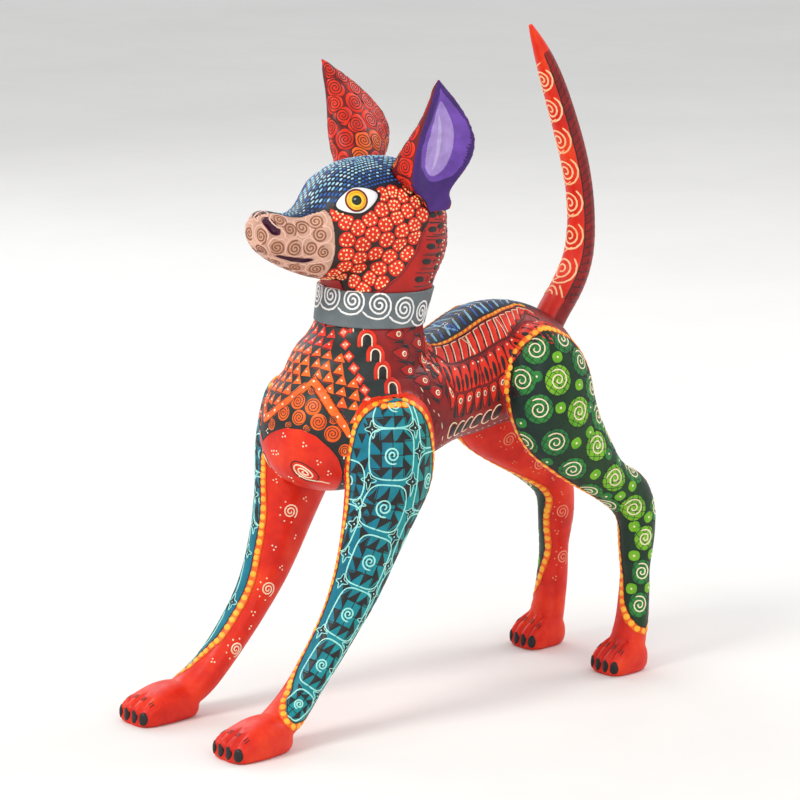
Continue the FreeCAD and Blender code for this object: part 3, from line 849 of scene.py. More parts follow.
def close(name, keep, stuff, node):
    """Cuts one carved part out of the skin, closes it where it was cut, and stores it."""
    used = np.unique(skin_quads[keep])
    fresh = np.full(len(skin), -1)
    fresh[used] = np.arange(len(used))
    made = store(name, skin[used], fresh[skin_quads[keep]], stuff, "dog")
    mesh = made.data
    for what in grounds:
        values = mesh.attributes.new(what, "FLOAT", "POINT")
        values.data.foreach_set("value", np.clip(grounds[what][used], -DEEPEST, DEEPEST).astype(np.float32))
    work = bmesh.new()
    work.from_mesh(mesh)
    rim = [e for e in work.edges if e.is_boundary]
    bmesh.ops.holes_fill(work, edges=rim, sides=0)
    work.to_mesh(mesh)
    work.free()
    mesh.normals_split_custom_set_from_vertices(skin_normals[used].tolist())
    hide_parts(node)


for i, node in enumerate(names):
    close(f"carved_{node}", label == i, SKIN_PAINT[node.split("_")[0]], node)


# ---------------------------------------------------------------- ears, tail and collar


def piece(node, body, size, stuff, marks, rounds=2):
    """A separate carved piece: its skin is remeshed, marked and stored. Returns its tree."""
    co, quads = remesh([node], size * (1), rounds)
    normals = normals_of(co, quads)
    tree = tree_of(co, quads)
    made = store(f"carved_{node}", co, quads, stuff, body)
    for what, values in marks(co, normals, tree).items():
        data = made.data.attributes.new(what, "FLOAT", "POINT")
        data.data.foreach_set("value", np.clip(values, -DEEPEST, DEEPEST).astype(np.float32))
    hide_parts(node)
    return tree, co, quads


EAR_PAINT = field("painted_ear", tones((0.10, 0.005, 0.005), (0.20, 0.008, 0.006)), [
    ("lateral", tones((0.040, 0.010, 0.13), (0.065, 0.016, 0.19)), None),
    ("middle", tones((0.13, 0.045, 0.36), (0.19, 0.075, 0.46)), None),
    ("almond", tones((0.34, 0.22, 0.60), (0.44, 0.31, 0.68)), None),
    ("streak", tones((0.47, 0.35, 0.70), (0.56, 0.45, 0.76)), None)])
ear_skins, ear_lateral = {}, {}
for name, side in SIDES.items():
    node = f"{name}_ear"
    co, _ = read_mesh(node)
    tip = co[co[:, 2].argmax()]
    low = co[co[:, 2] < co[:, 2].min() + 9].mean(axis=0)
    stem = (tip - low) / np.linalg.norm(tip - low)
    spine = slices(node, stem, float(low @ stem) - 1, float(tip @ stem) - 1.5, 18)
    outward = np.array([side, 0.0, 0.0])

    def ear_marks(co, normals, tree, spine=spine, outward=outward, name=name):
        chart = Chart(tree, spine, outward, reach=22, even=1)
        s, a = chart.find(co)
        flat = normals @ outward
        flat_side = (flat > 0.6) & (np.abs(a) < 15)
        bins = np.arange(0, chart.length, 2.0)
        half = []
        for b in bins:
            here = flat_side & (np.abs(s - b) < 1.5)
            half.append([b + 0.0, a[here].min() if here.any() else -1, a[here].max() if here.any() else 1])
        half = np.array(half)
        for _ in range(5):
            half[1:-1, 1:] = (half[:-2, 1:] + 2 * half[1:-1, 1:] + half[2:, 1:]) / 4
        low_edge, high_edge = np.interp(s, half[:, 0], half[:, 1]), np.interp(s, half[:, 0], half[:, 2])
        inset = np.minimum(a - low_edge, high_edge - a)
        top = chart.length
        centre = (low_edge + high_edge) / 2
        almond = 1 - ((s - 0.53 * top) / (0.34 * top)) ** 2 - (
            (a - centre + 0.08 * (high_edge - low_edge)) / np.maximum((high_edge - low_edge) * 0.25, 1)) ** 2
        middle = 1 - np.abs((s - 0.56 * top) / (0.42 * top)) ** 2.6 - np.abs(
            (a - centre) / np.maximum((high_edge - low_edge) / 2 - 2.1, 1)) ** 2.6
        streak = 1 - ((s - 0.52 * top) / (0.24 * top)) ** 2 - ((a - centre + 2.2) / 0.9) ** 2
        lateral = np.minimum(inset + 0.3, (flat - 0.2) * 8)
        ear_lateral[name] = lateral
        return {"lateral": lateral, "middle": np.minimum(middle * 3, lateral),
                "almond": np.minimum(almond * 3, lateral), "streak": np.minimum(streak * 1.2, lateral)}

    ear_skins[name] = piece(node, node, 0.5, EAR_PAINT, ear_marks)

TAIL_PAINT = field("painted_tail_wood", RED_WOOD, [
    ("rear_side", tones((0.16, 0.004, 0.005), (0.34, 0.010, 0.008)), None)])
tail_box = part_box("tail")
tail_spine = slices("tail", (0, 0, 1), tail_box[0].z / MM + 7, tail_box[1].z / MM - 2, 30)
tail_charts = []


def tail_marks(co, normals, tree):
    chart = Chart(tree, tail_spine, (0, -1, 0), reach=12)
    tail_charts.append(chart)
    s, a = chart.find(co)
    wide = np.interp(s, chart.s, (chart.arc[:, -1] - chart.arc[:, 0]) / 2)
    return {"rear_side": np.minimum(np.abs(a) - wide * 0.37, chart.length - 9 - s)}


piece("tail", "tail", 0.6, TAIL_PAINT, tail_marks, rounds=3)
tail_chart = tail_charts[0]

COLLAR_PAINT = field("painted_collar_band", tones((0.085, 0.105, 0.115), (0.16, 0.19, 0.20)))
collar_tree, _, _ = piece("collar", "dog", 0.4, COLLAR_PAINT, lambda co, normals, tree: {})
collar_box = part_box("collar")
collar_mid = (collar_box[0] + collar_box[1]) / (2 * MM)
COLLAR_HALF, COLLAR_SHIFT = 6.3, 1.55  # half its height, and half its shift backwards from bottom to top
collar_axis = [(0, collar_mid.y + k * COLLAR_SHIFT, collar_mid.z + k * COLLAR_HALF) for k in (-1, 1)]
collar_chart = Chart(collar_tree, collar_axis, (0, -1, 0), reach=30, step=0.9, turns=120, inward=True)

BARE = material("bare_wood", brushed((0.46, 0.29, 0.15), (0.60, 0.42, 0.24), 90.0, (6, 6, 1)), rough=(0.5, 0.7),
                coat=0.0, bump=0.15, grain=500.0, spec=0.3)
for node in frame["nodes"]:
    if node.endswith("_peg") or node.endswith("_dowel"):
        mesh = frame["nodes"][node].data
        if not mesh.materials:
            mesh.materials.append(BARE)
        for i in range(len(mesh.materials)):
            mesh.materials[i] = BARE

# ---------------------------------------------------------------- painting: the collar and tail

round_collar = collar_chart.arc[5, -1] - collar_chart.arc[5, 0]
SCROLLS = 13
pitch = round_collar / SCROLLS
for i in range(SCROLLS):
    a, s = (i + 0.15) * pitch, collar_chart.length / 2 + rng.uniform(-0.2, 0.2)
    while a > round_collar / 2:
        a -= round_collar
    path = curl(s, a, 4.85 * rng.uniform(0.96, 1.02), 2.7, math.pi, -1, 1.06, 0.1)
    lead = [(s - 3.4, a - 5.6), (s - 4.7, a - 3.8), (s - 5.1, a - 1.6)]
    line(collar_chart.at, lead + path, 0.78, 0.16, ("dog", "collar", "white"))

wide_tail = np.interp(np.arange(0, tail_chart.length), tail_chart.s,
                      (tail_chart.arc[:, -1] - tail_chart.arc[:, 0]) / 2)


def half_tail(s):
    """Half the way round the tail."""
    return float(np.interp(s, np.arange(len(wide_tail)), wide_tail))


TAIL_SCROLLS, TAIL_LINES = ("tail", "front", "peach"), ("tail", "lines", "black")
s = 4.5
while s < tail_chart.length - 16:
    r = 0.355 * half_tail(s)
    line(tail_chart.at, curl(s, 0.0, r, 2.5, 0.6, 1, 1.12), 0.78, 0.15, TAIL_SCROLLS)
    line(tail_chart.at, [(s + r * 1.1, -r * 0.5), (s + r * 1.6, r * 0.3)], 0.55, 0.12, TAIL_SCROLLS)
    s += 2 * r * 1.14
for side in (1, -1):
    border = [(s, side * 0.37 * half_tail(s)) for s in np.arange(0.5, tail_chart.length - 9, 1.5)]
    line(tail_chart.at, border, 0.5, 0.1, TAIL_LINES)
    for s in np.arange(2, tail_chart.length - 11, 3.1):
        half = half_tail(s)
        line(tail_chart.at, [(s - 1.0, side * 0.39 * half), (s + 1.2, side * 0.72 * half)], 0.45, 0.08, TAIL_LINES)
        patch(tail_chart.at, oval(s + 0.9, side * 0.56 * half, 0.9, 0.07 * half), 0.07,
              ("tail", "lines", "deep_red"))
        dot(tail_chart.at, s + 0.3, side * 0.78 * half, 0.36, ("tail", "dots", "cream"))

# ---------------------------------------------------------------- flat frames on the skin, and shapes laid in them


def ground_at(what, p):
    """The signed distance of a ground colour at a place on the skin."""
    return float(grounds[what][skin_quads[skin_tree.find_nearest(Vector(p))[2]]].mean())


def laid(middle, normal, ahead, across, tree=skin_tree):
    """A flat frame in mm laid against a surface at a point: u runs ahead, v across."""
    ahead = ahead - normal * (ahead @ normal)
    ahead /= np.linalg.norm(ahead)
    side = np.cross(normal, ahead)
    side *= 1 if side @ across >= 0 else -1

    def place(u, v):
        return touch(tree, middle + u * ahead + v * side)

    place.frame = middle, ahead, side
    return place


def local(where, s, a):
    """The flat frame at a chart point, with u along the chart and v round it."""
    middle, normal = where(s, a)
    return laid(middle, normal, where(s + 0.8, a)[0] - where(s - 0.8, a)[0],
                where(s, a + 0.8)[0] - where(s, a - 0.8)[0])


def trimmed(place, outline, region, margin):
    """The outline drawn in towards its middle until it lies inside a region of the skin."""
    made = []
    for u, v in outline:
        k = 1.0
        while k > 0.1 and region(place(u * k, v * k)[0]) < margin:
            k -= 0.07
        made.append((u * k, v * k))
    return made


def draw_runs(where, places, good, width, high, key):
    """Draws the stretches of a path where it is good, if they are long enough to see."""
    run = []
    for q, ok in [*zip(places, good), (None, False)]:
        if ok:
            run.append(q)
        else:
            if len(run) > 3:
                line(where, run, width, high, key)
            run = []


def dense(path, spacing):
    """A path's places, spacing mm apart."""
    path = np.array(path, float)
    lengths = lengths_along(path)
    return on_path(path, lengths, np.linspace(0, lengths[-1], max(3, int(lengths[-1] / spacing))))


def kept(place, path, region, margin, width, high, key):
    """Draws only the stretches of a path that lie inside a region of the skin."""
    places = dense(path, 0.45)
    draw_runs(place, places, [region(place(*q)[0]) > margin for q in places], width, high, key)


def even_spots(co, spacing, tree=skin_tree):
    """Places on a surface spread evenly, spacing mm apart, over its given corners."""
    picks, far = [0], np.linalg.norm(co - co[0], axis=1)
    while far.max() > spacing:
        picks.append(int(far.argmax()))
        far = np.minimum(far, np.linalg.norm(co - co[picks[-1]], axis=1))
    spots = co[picks]
    for _ in range(12):
        owner = np.linalg.norm(co[:, None, :] - spots[None], axis=2).argmin(axis=1)
        spots = np.array([co[owner == i].mean(axis=0) if (owner == i).any() else p for i, p in enumerate(spots)])
        spots = np.array([co[np.linalg.norm(co - p, axis=1).argmin()] for p in spots])
    return [touch(tree, p)[0] for p in spots]


def at_place(p, ahead=(0, 0.3, 1.0), across=(0, 1.0, 0), tree=skin_tree):
    """The flat frame at a place on a surface."""
    return laid(*touch(tree, p), np.array(ahead), np.array(across), tree)


def cell(place, others, gap, limit, region, margin, n=22):
    """The outline of the space round a spot that is nearer to it than to the others, less a gap."""
    middle, ahead, side = place.frame
    out = np.cross(ahead, side)
    others = [p for p in others if abs((p - middle) @ out) < 0.55 * np.linalg.norm(p - middle) + 0.3]
    rel = [(float((p - middle) @ ahead), float((p - middle) @ side)) for p in others]
    rel = [q for q in rel if 0.3 < math.hypot(*q) < 3 * limit]
    made = []
    for t in all_round(n):
        c, d = math.cos(t), math.sin(t)
        reach = limit
        for u, v in rel:
            if u * c + v * d > 0.05:
                reach = min(reach, (u * u + v * v) / 2 / (u * c + v * d) - gap)
        made.append(max(reach, 0.3))
    made = np.array(made)
    made = np.minimum(made, (np.roll(made, 1) + made + np.roll(made, -1)) / 3)
    return trimmed(place, [(r * math.cos(t), r * math.sin(t)) for r, t in zip(made, all_round(n))], region, margin)


def inside(outline, s, a):
    return float(outline_distance(np.array([s]), np.array([a]), outline)[0])


def clipped(where, outline, path, margin, width, high, key):
    """Draws only the stretches of a path that lie inside an outline."""
    places = dense(path, 0.5)
    good = outline_distance(places[:, 0], places[:, 1], outline) > margin
    draw_runs(where, places, good, width, high, key)


def square(s, a, half_s, half_a, power=4.0, n=40):
    """A square with round corners, as chart points."""
    made = []
    for t in all_round(n):
        c, d = math.cos(t), math.sin(t)
        k = (abs(c) ** power + abs(d) ** power) ** (-1 / power)
        made.append((s + half_s * k * c, a + half_a * k * d))
    return made


def beads(where, outline, pitch, r, key):
    """A row of drops along a closed outline."""
    path = np.array([*outline, outline[0]], float)
    lengths = lengths_along(path)
    count = int(lengths[-1] / pitch)
    for k in range(count):
        dot(where, *on_path(path, lengths, (k + 0.5) * lengths[-1] / count), r, key, 0.32, 12)


def edge_path(outline, inset):
    """The outline moved in by inset, as chart points."""
    path = np.array(outline, float)
    ahead, behind = np.roll(path, -1, axis=0), np.roll(path, 1, axis=0)
    along = ahead - behind
    along /= np.linalg.norm(along, axis=1, keepdims=True)
    side = np.stack([-along[:, 1], along[:, 0]], 1)
    middle = path.mean(axis=0)
    trial = path + side * 0.5
    sign = np.sign(outline_distance(trial[:, 0], trial[:, 1], outline) + 1e-9)[:, None]
    return path + side * inset * sign


def cluster(where, s, a, key, r=0.36, size=0.75):
    """Three small drops, as the painter fills plain places."""
    turn = rng.uniform(0, 6.3)
    for k in range(3):
        t = turn + k * 2.09
        dot(where, s + size * math.cos(t), a + size * math.sin(t), r, key, 0.16, 8)


def star(where, s, a, half_s, half_a, key, width=0.42):
    """A four-pointed star with hollow sides, drawn as a line."""
    made = []
    for k in range(4):
        for t in np.linspace(0, 1, 6, endpoint=False):
            turn = (k + t) * math.pi / 2
            reach = 1 - 0.62 * math.sin(t * math.pi)
            made.append((s + half_s * reach * math.cos(turn), a + half_a * reach * math.sin(turn)))
    line(where, made, width, 0.15, key, closed=True)


# ---------------------------------------------------------------- painting: the legs


def border(where, outline, key):
    """The orange rim of a painted field, with a black line inside it and yellow drops on it."""
    line(where, edge_path(outline, -0.5), 2.9, 0.12, (*key, "orange"), closed=True)
    line(where, edge_path(outline, 1.25), 0.42, 0.14, (*key, "black"), closed=True)
    beads(where, edge_path(outline, -0.3), 3.15, 1.28, (*key, "yellow"))


def sprig(where, s, a, r, drop, key):
    """A spiral with five drops in an arc beside it."""
    place = local(where, s, a)
    line(place, curl(0, 0, r, 2.3, 0.4, 1), 0.62, 0.16, key)
    for k in range(5):
        t = math.pi * (0.1 + 0.22 * k)
        dot(place, -4.0 * math.cos(t), -4.0 * math.sin(t), drop, key, 0.16, 8)


def ring_dot(where, s, a, rings, key, squash=1.0, n=14, bevel=0.15):
    """Round patches one on another, each given as its radius, height and colour."""
    for r, high, colour in rings:
        patch(where, oval(s, a, r * squash, r, 0, n), high, (*key, colour), bevel=bevel)


SQUARES = [(-5.0, 6.5, 7.5, 8.0), (11.5, 7.6, 8.8, 8.3), (31.3, 8.2, 9.4, 7.9), (52.4, 5.6, 9.5, 6.7),
           (72.6, 4.2, 9.5, 6.0), (93.4, 3.0, 9.4, 5.4), (111.0, 1.2, 6.0, 4.4), (2.0, -10.3, 8.0, 7.0),
           (21.0, -10.0, 9.4, 7.0), (41.5, -9.2, 9.6, 6.6), (62.5, -8.2, 9.5, 5.6), (83.0, -7.6, 9.4, 4.8),
           (23.0, 23.5, 8.8, 6.2), (43.0, 20.5, 9.0, 5.6)]
WEDGES = (((-0.54, -0.46), (0.04, -0.46), (-0.02, -0.96)), ((0.08, -0.46), (0.54, -0.46), (0.50, -0.93)),
          ((-0.93, -0.46), (-0.57, -0.46), (-0.57, -0.90)), ((0.60, -0.96), (0.96, -0.60), (1.24, -1.24)))
for name, side in SIDES.items():
    where = sided(leg_charts[f"front_{name}"], side)
    key = "dog", "legs"
    for s, a, hs, ha in SQUARES:
        outline = square(s, a, hs, ha)
        clipped(where, FRONT_FIELD, outline + outline[:1], 0.6, 0.62, 0.17, (*key, "aqua"))
        for k in (-0.52, 0.0, 0.52):
            w = math.sqrt(1 - (abs(k) ** 4)) * 0.97
            for stroke in ([(s + k * hs, a - w * ha), (s + k * hs, a + w * ha)],
                           [(s - w * hs, a + k * ha), (s + w * hs, a + k * ha)]):
                clipped(where, FRONT_FIELD, stroke, 1.0, 0.34, 0.08, (*key, "black"))
        for turn in range(4):
            c, d = round(math.cos(turn * math.pi / 2)), round(math.sin(turn * math.pi / 2))
            for shape in WEDGES:
                points = [(s + (x * c - y * d) * hs, a + (x * d + y * c) * ha) for x, y in shape]
                if min(inside(FRONT_FIELD, *q) for q in points) > 1.0:
                    fine = []
                    for q0, q1 in zip(points, points[1:] + points[:1]):
                        fine += [tuple(np.array(q0) * (1 - t) + np.array(q1) * t) for t in (0.0, 0.33, 0.67)]
                    patch(where, fine, 0.11, (*key, "black"), bevel=0.15)
        if inside(FRONT_FIELD, s, a) > 0:
            kept(local(where, s, a), curl(0, 0, 0.36 * min(hs, ha * 1.2), 2.1, -0.5, 1, 1.05, 0.12),
                 lambda p: ground_at("front_field", p), 1.2, 0.7, 0.22, (*key, "aqua"))
    for s, a, hs, ha in SQUARES:
        for across in (-1, 1):
            spot = (s + hs * 1.06, a + across * ha * 1.0)
            if inside(FRONT_FIELD, *spot) > 2.0 and spot[0] < 108:
                star(where, *spot, 3.4, 2.9, (*key, "aqua"))
                dot(where, *spot, 0.38, (*key, "aqua"), 0.2, 8)
    for s, a in ((0.5, 15.2), (6.5, 18.6), (11.5, 20.6), (16.5, 18.4), (-3.5, 11.0)):
        wedge = [(-1.7, -1.6), (-1.7, 0.2), (-1.7, 1.9), (0.2, 1.0), (2.0, 0.2), (0.2, -0.8)]
        patch(local(where, s, a), wedge, 0.11, (*key, "black"), bevel=0.15)
    border(where, FRONT_FIELD, key)
    for s, a in ((44, 31.5), (73, 22.8), (97, 21.5), (22, 37)):
        sprig(where, s, a, 2.9, 0.36, (*key, "cream"))
    for s, a in ((34, 28), (52, 34), (58, 24), (64, 27.5), (83, 20), (88, 24), (12, 33), (30, 40), (106, 15),
                 (38, 39)):
        cluster(where, s, a, (*key, "cream"))

    where = sided(leg_charts[f"rear_{name}"], side)
    discs = [(12.6, 3.9), (26.4, -3.0), (45.1, -5.0), (62.1, -0.6), (79.0, 1.6), (93.6, 1.1), (106.6, 1.5),
             (119.0, 1.6), (-0.2, 9.8), (10.4, 17.6), (20.6, 12.8), (31.6, 9.6), (45.6, 8.0), (-0.5, -3.2),
             (9.0, -9.6), (30.5, 21.0), (34.0, -13.6), (53.0, -14.6), (20.5, -14.6), (70.0, -9.6), (86.0, -7.6),
             (59.0, 10.4), (72.0, 9.6)]

    def green(p):
        return ground_at("rear_field", p)

    for s, a in discs:
        depth = inside(REAR_FIELD, s, a)
        if depth < 0.8:
            continue
        place, r = local(where, s, a), 5.6 if s < 84 else 4.8
        colour = "lime" if -7.5 < a < 6.5 and 8 < s < 100 and depth > 5 else "green"
        patch(place, trimmed(place, oval(0, 0, r, r, 0, 28), green, 1.0), 0.07, (*key, colour), bevel=0.3)
        for turn in (0.75, -0.8):
            for k in (-3.9, -1.3, 1.3, 3.9):
                reach = math.sqrt(max(r * r - k * k, 0)) * 1.15
                c, d = math.cos(turn), math.sin(turn)
                stroke = [(-k * d - reach * c, k * c - reach * d), (-k * d + reach * c, k * c + reach * d)]
                kept(place, stroke, green, 1.0, 0.3, 0.13, (*key, "black"))
        spiral = curl(0, 0, 4.2 if s < 84 else 3.5, 2.0, 2.6, 1, 1.0, 0.12)
        kept(place, spiral, green, 1.0, 0.62, 0.24, (*key, "cream"))
    for s, a in ((9.7, 12.0), (21.9, 4.6), (16.4, -5.6), (36.8, -5.0), (36.2, 2.2), (53.2, 3.0), (4.6, 2.4),
                 (24.0, 20.2), (70.0, 2.6), (71.5, -3.6), (38.6, 15.0), (53.6, -6.4), (28.0, -9.6), (43.5, -13.8),
                 (87.0, 4.6), (86.4, -2.0), (100.4, 5.0), (100.2, -3.0), (113.0, 5.0), (112.8, -2.4), (66.0, 6.6),
                 (61.0, -7.8)):
        if inside(REAR_FIELD, s, a) > 2.2:
            colour = "lime" if abs(a) < 6 else "green"
            patch(local(where, s, a), square(0, 0, 2.1, 2.3, 2.6, 16), 0.1, (*key, colour), bevel=0.3)
            dot(where, s, a, 0.5, (*key, "cream"), 0.3, 9)
    border(where, REAR_FIELD, key)
    for s, a in ((46, 30), (66, 24.5), (92, 19), (110, 18)):
        sprig(where, s, a, 3.0, 0.34, (*key, "pink"))
    for s, a in ((38, 27), (56, 28), (56, 20.5), (76, 20), (84, 22), (100, 16), (40, 35), (118, 15)):
        cluster(where, s, a, (*key, "pink"))

for leg, side, middle, wide, front in TOES:
    for share in (-0.74, -0.25, 0.25, 0.74):
        x = middle + share * wide

        def before(u, v, x=x, front=front):
            return seen((x + u, front - 12, 3.2 + v), (0, 1, 0), 40,
                        (np.array([x + u, front, 3.2 + v]), np.array([0, -1.0, 0])))

        patch(before, oval(0, 0.2, 0.17 * wide, 2.5, 0.0, 16), 0.25, ("dog", "legs", "black"), bevel=0.35)

        def above(u, v, x=x, front=front):
            return seen((x + u, front + v, 30), (0, 0, -1), 40,
                        (np.array([x + u, front + v, 8]), np.array([0, 0, 1.0])))

        for u in (-0.55, 0.55):
            line(above, [(u, 3.6), (u * 0.8, 5.6)], 0.42, 0.14, ("dog", "legs", "black"))

# ---------------------------------------------------------------- painting: the chest and the torso's sides

VEE = [(7, -40), (11, -33), (15.5, -28), (20.5, -23), (23.5, -20), (20.5, -17), (16.5, -14), (12.5, -11), (9, -8.5),
       (10.3, -5.4), (14.3, -0.5), (17.8, 3.6), (20.8, 6.0), (24.7, 8.7), (21.9, 13.2), (18.7, 18.5), (15.5, 23.3),
       (12.6, 26.9), (8, 31)]


def vee_at(a):
    return float(np.interp(a, [q[1] for q in VEE], [q[0] for q in VEE]))


def turned(shape, lean):
    """A shape in a flat frame, turned by lean."""
    c, d = math.cos(lean), math.sin(lean)
    return [(x * c - y * d, x * d + y * c) for x, y in shape]


key = "dog", "neck"
line(neck_chart.at, VEE, 3.8, 0.09, (*key, "orange"), ends=0.1)
for shift in (-1.9, 1.9):
    line(neck_chart.at, [(s + shift, a) for s, a in VEE], 0.36, 0.13, (*key, "black"))
vee_path = np.array(VEE, float)
vee_lengths = lengths_along(vee_path)
for at in np.arange(1.5, vee_lengths[-1], 4.2):
    dot(neck_chart.at, *on_path(vee_path, vee_lengths, at), 0.52, (*key, "cream"), 0.3)
line(neck_chart.at, [(s + 0.3, a) for a, s in DOME if -34 < a < 32], 0.5, 0.14, (*key, "black"))
for mirror in (0, 1):
    for s, a, r in ((12.6, 2.6, 3.1), (17.4, 7.2, 3.2), (12.4, 9.8, 3.1), (17.0, 13.6, 3.4), (12.4, 17.4, 3.3),
                    (9.4, 23.2, 3.3), (21.2, 10.4, 1.7), (7.6, -2.4, 2.3), (4.6, 28.4, 2.6), (14.2, 22.2, 1.7),
                    (9.3, 13.8, 1.5), (9.0, 6.2, 1.5)):
        place = local(neck_chart.at, s, -16.5 - a if mirror else a)
        r *= 0.92
        patch(place, oval(0, 0, r, r, 0, 20), 0.08, (*key, "orange"), bevel=0.2)
        line(place, curl(0, 0, r * 0.88, 2.4, rng.uniform(0, 6), 1, 1.0, 0.1), 0.4, 0.17, (*key, "black"))
for side in SIDES.values():
    chest = sided(neck_chart, side)
    for row, s in enumerate(np.arange(9.0, 53.0, 3.7)):
        for col in range(-1, 12):
            a = 2.3 + 4.5 * col + (2.25 if row % 2 else 0.0) + rng.uniform(-0.3, 0.3)
            lozenge = edge([(20, 33), (25.9, 27.6), (29, 23.9), (32.2, 20.5), (35.7, 16.3), (39.3, 11.9), (43.4, 8.9),
                            (52, 6.5)], s)
            if a < -0.1 or a > lozenge - 3.0 or s < vee_at(side * a) + 3.1:
                continue
            tall, wide = 2.05 * rng.uniform(0.88, 1.1), 2.2 * rng.uniform(0.88, 1.05)
            tri = [(-tall, -wide), (-tall, 0), (-tall, wide), (0, wide * 0.55), (tall, 0.1), (0, -wide * 0.55)]
            place = local(chest, s, a)
            patch(place, turned(tri, rng.uniform(-0.22, 0.12) - 0.012 * a), 0.09,
                  (*key, "orange" if s < 37 else "bright_red"), bevel=0.2)
            dot(place, -0.4, 0, 0.42, (*key, "cream"), 0.26)
            if rng.random() < 0.5:
                line(place, turned([(-tall - 0.45, -wide), (-tall - 0.45, wide)], -0.05), 0.3, 0.1, (*key, "red"))
    for s, a in ((43.6, 8.9), (39.6, 12.2), (35.9, 16.2), (32.3, 20.3), (29.0, 23.8), (25.9, 27.2), (23.0, 30.6),
                 (47.4, 6.6)):
        place = local(chest, s, a)
        diamond = [(2.5, 0), (1.3, 0.95), (0, 2.1), (-1.3, 0.95), (-2.5, 0), (-1.3, -0.95), (0, -2.1), (1.3, -0.95)]
        patch(place, turned(diamond, -0.6), 0.09, (*key, "bright_red"), bevel=0.2)
        patch(place, turned([(0.62 * x, 0.62 * y) for x, y in diamond], -0.6), 0.15, (*key, "pink"), bevel=0.2)
        for k in (-0.62, 0.62):
            dot(place, *turned([(0, k)], -0.6)[0], 0.4, (*key, "cream"), 0.28)
    for s, a, lean in ((29.2, 37.2, -0.77), (33.8, 30.2, -0.66), (38.9, 23.8, -0.6), (43.2, 18.0, -0.5),
                       (47.6, 12.6, -0.45)):
        place = local(chest, s, a)
        for reach, width, high, colour, legs in ((2.75, 1.5, 0.1, "bright_red", 3.0), (1.75, 0.6, 0.2, "cream", 2.7)):
            arch = [(-legs, -reach)] + [(reach * 1.15 * math.sin(t), -reach * math.cos(t))
                                        for t in np.linspace(0, math.pi, 13)] + [(-legs, reach)]
            line(place, turned(arch, lean), width, high, (*key, colour))
        bell = [(-2.6, -1.3), (0.4, -1.4), (1.3, -0.9), (1.7, 0), (1.3, 0.9), (0.4, 1.4), (-2.6, 1.3), (-2.6, 0)]
        patch(place, turned(bell, lean), 0.12, (*key, "black"), bevel=0.2)
    for s, a, lean in ((52.0, 20.5, -0.3), (47.6, 27.0, -0.45), (41.6, 32.6, -0.55), (36.4, 40.2, -0.6),
                       (52.5, 31.5, -0.4), (46.5, 38.5, -0.5), (34.2, 47.6, -0.6), (41.0, 46.6, -0.4),
                       (31.6, 54.6, -0.4)):
        place = local(chest, s, a)
        leaf = [(0.0, -4.4), (1.4, -2.2), (2.2, 0.3), (2.0, 2.6), (0.0, 3.6), (-2.0, 2.6), (-2.2, 0.3), (-1.4, -2.2)]
        patch(place, turned(leaf, lean), 0.09, (*key, "red"), bevel=0.3)
        line(place, turned(leaf, lean), 0.34, 0.13, (*key, "black"), closed=True)
        for x in (-2.9, 2.9):
            wedge = [(x - 0.7, 3.4), (x, 2.8), (x + 0.7, 3.4), (x + 0.45, 1.0), (x, -2.4), (x - 0.45, 1.0)]
            patch(place, turned(wedge, lean), 0.1, (*key, "black"), bevel=0.2)
        ring_dot(place, *turned([(0, 1.0)], lean)[0],
                 ((1.15, 0.2, "cream"), (0.72, 0.28, "red"), (0.3, 0.36, "cream")), key)
    for s in np.arange(38, 53, 2.4):
        a = 48.5 + 0.3 * (s - 38)
        place = local(chest, s, a)
        line(place, [(0, -0.8), (0.5, 0.8)], 0.5, 0.14, (*key, "cream"))
        patch(place, oval(0.5, 3.4, 0.7, 1.9, 0.1, 12), 0.1, (*key, "black"), bevel=0.2)
    place = local(chest, -6.2, 13.2)
    spiral = [(-7.0, 8.5), (-5.0, 5.6)] + curl(0, 0, 5.2, 2.6, 2.2, 1, 0.55, 0.08, 0.72)
    line(place, spiral, 0.66, 0.2, (*key, "cream"))
    line(place, curl(0, 0, 6.0, 1.0, 2.2, 1, 0.6, 0.98, 0.72), 0.42, 0.14, (*key, "black"))
    for s, a in ((5.0, 4.8), (3.5, 13.6), (-1.7, 1.2), (-4.5, 23.4), (-9.5, 5.0), (-1.5, 19.0), (-14.5, 12.5)):
        cluster(chest, s, a, (*key, "cream"))


NECK_START, NECK_HALF, NECK_END, OFF_SKIN = 26, 46, 54, 0.5


def free(side, s, a, gap):
    """True where the torso's side is clear of the leg fields and the painted neck."""
    p, _ = body_chart.at(s, side * a)
    hit = skin_tree.find_nearest(Vector(p))
    part = names[label[hit[2]]]
    u, v = neck_chart.find([p])
    on_neck = u[0] > NECK_START and abs(v[0]) < NECK_HALF and s < NECK_END
    if hit[3] > OFF_SKIN or on_neck:
        return False
    return part == "torso" or ("leg" in part and ground_at(part.split("_")[0] + "_field", p) < -gap)


def moved(shape, s, a):
    return [(s + x, a + y) for x, y in shape]


def row_bottom(s):
    """Where the upper row of the side ends: its bars shorten towards the rump."""
    return edge(ROPE, s) + ROPE_HALF + 8.4 * min(1.0, (118 - s) / 22)


def row(side, start, end, pitch, below, middle, gap):
    """The places of a row of shapes at a distance below the rope, where the side is free."""
    for s in np.arange(start, end, pitch):
        top = edge(ROPE, s) + below
        if free(side, s, top + middle, gap):
            yield s, top


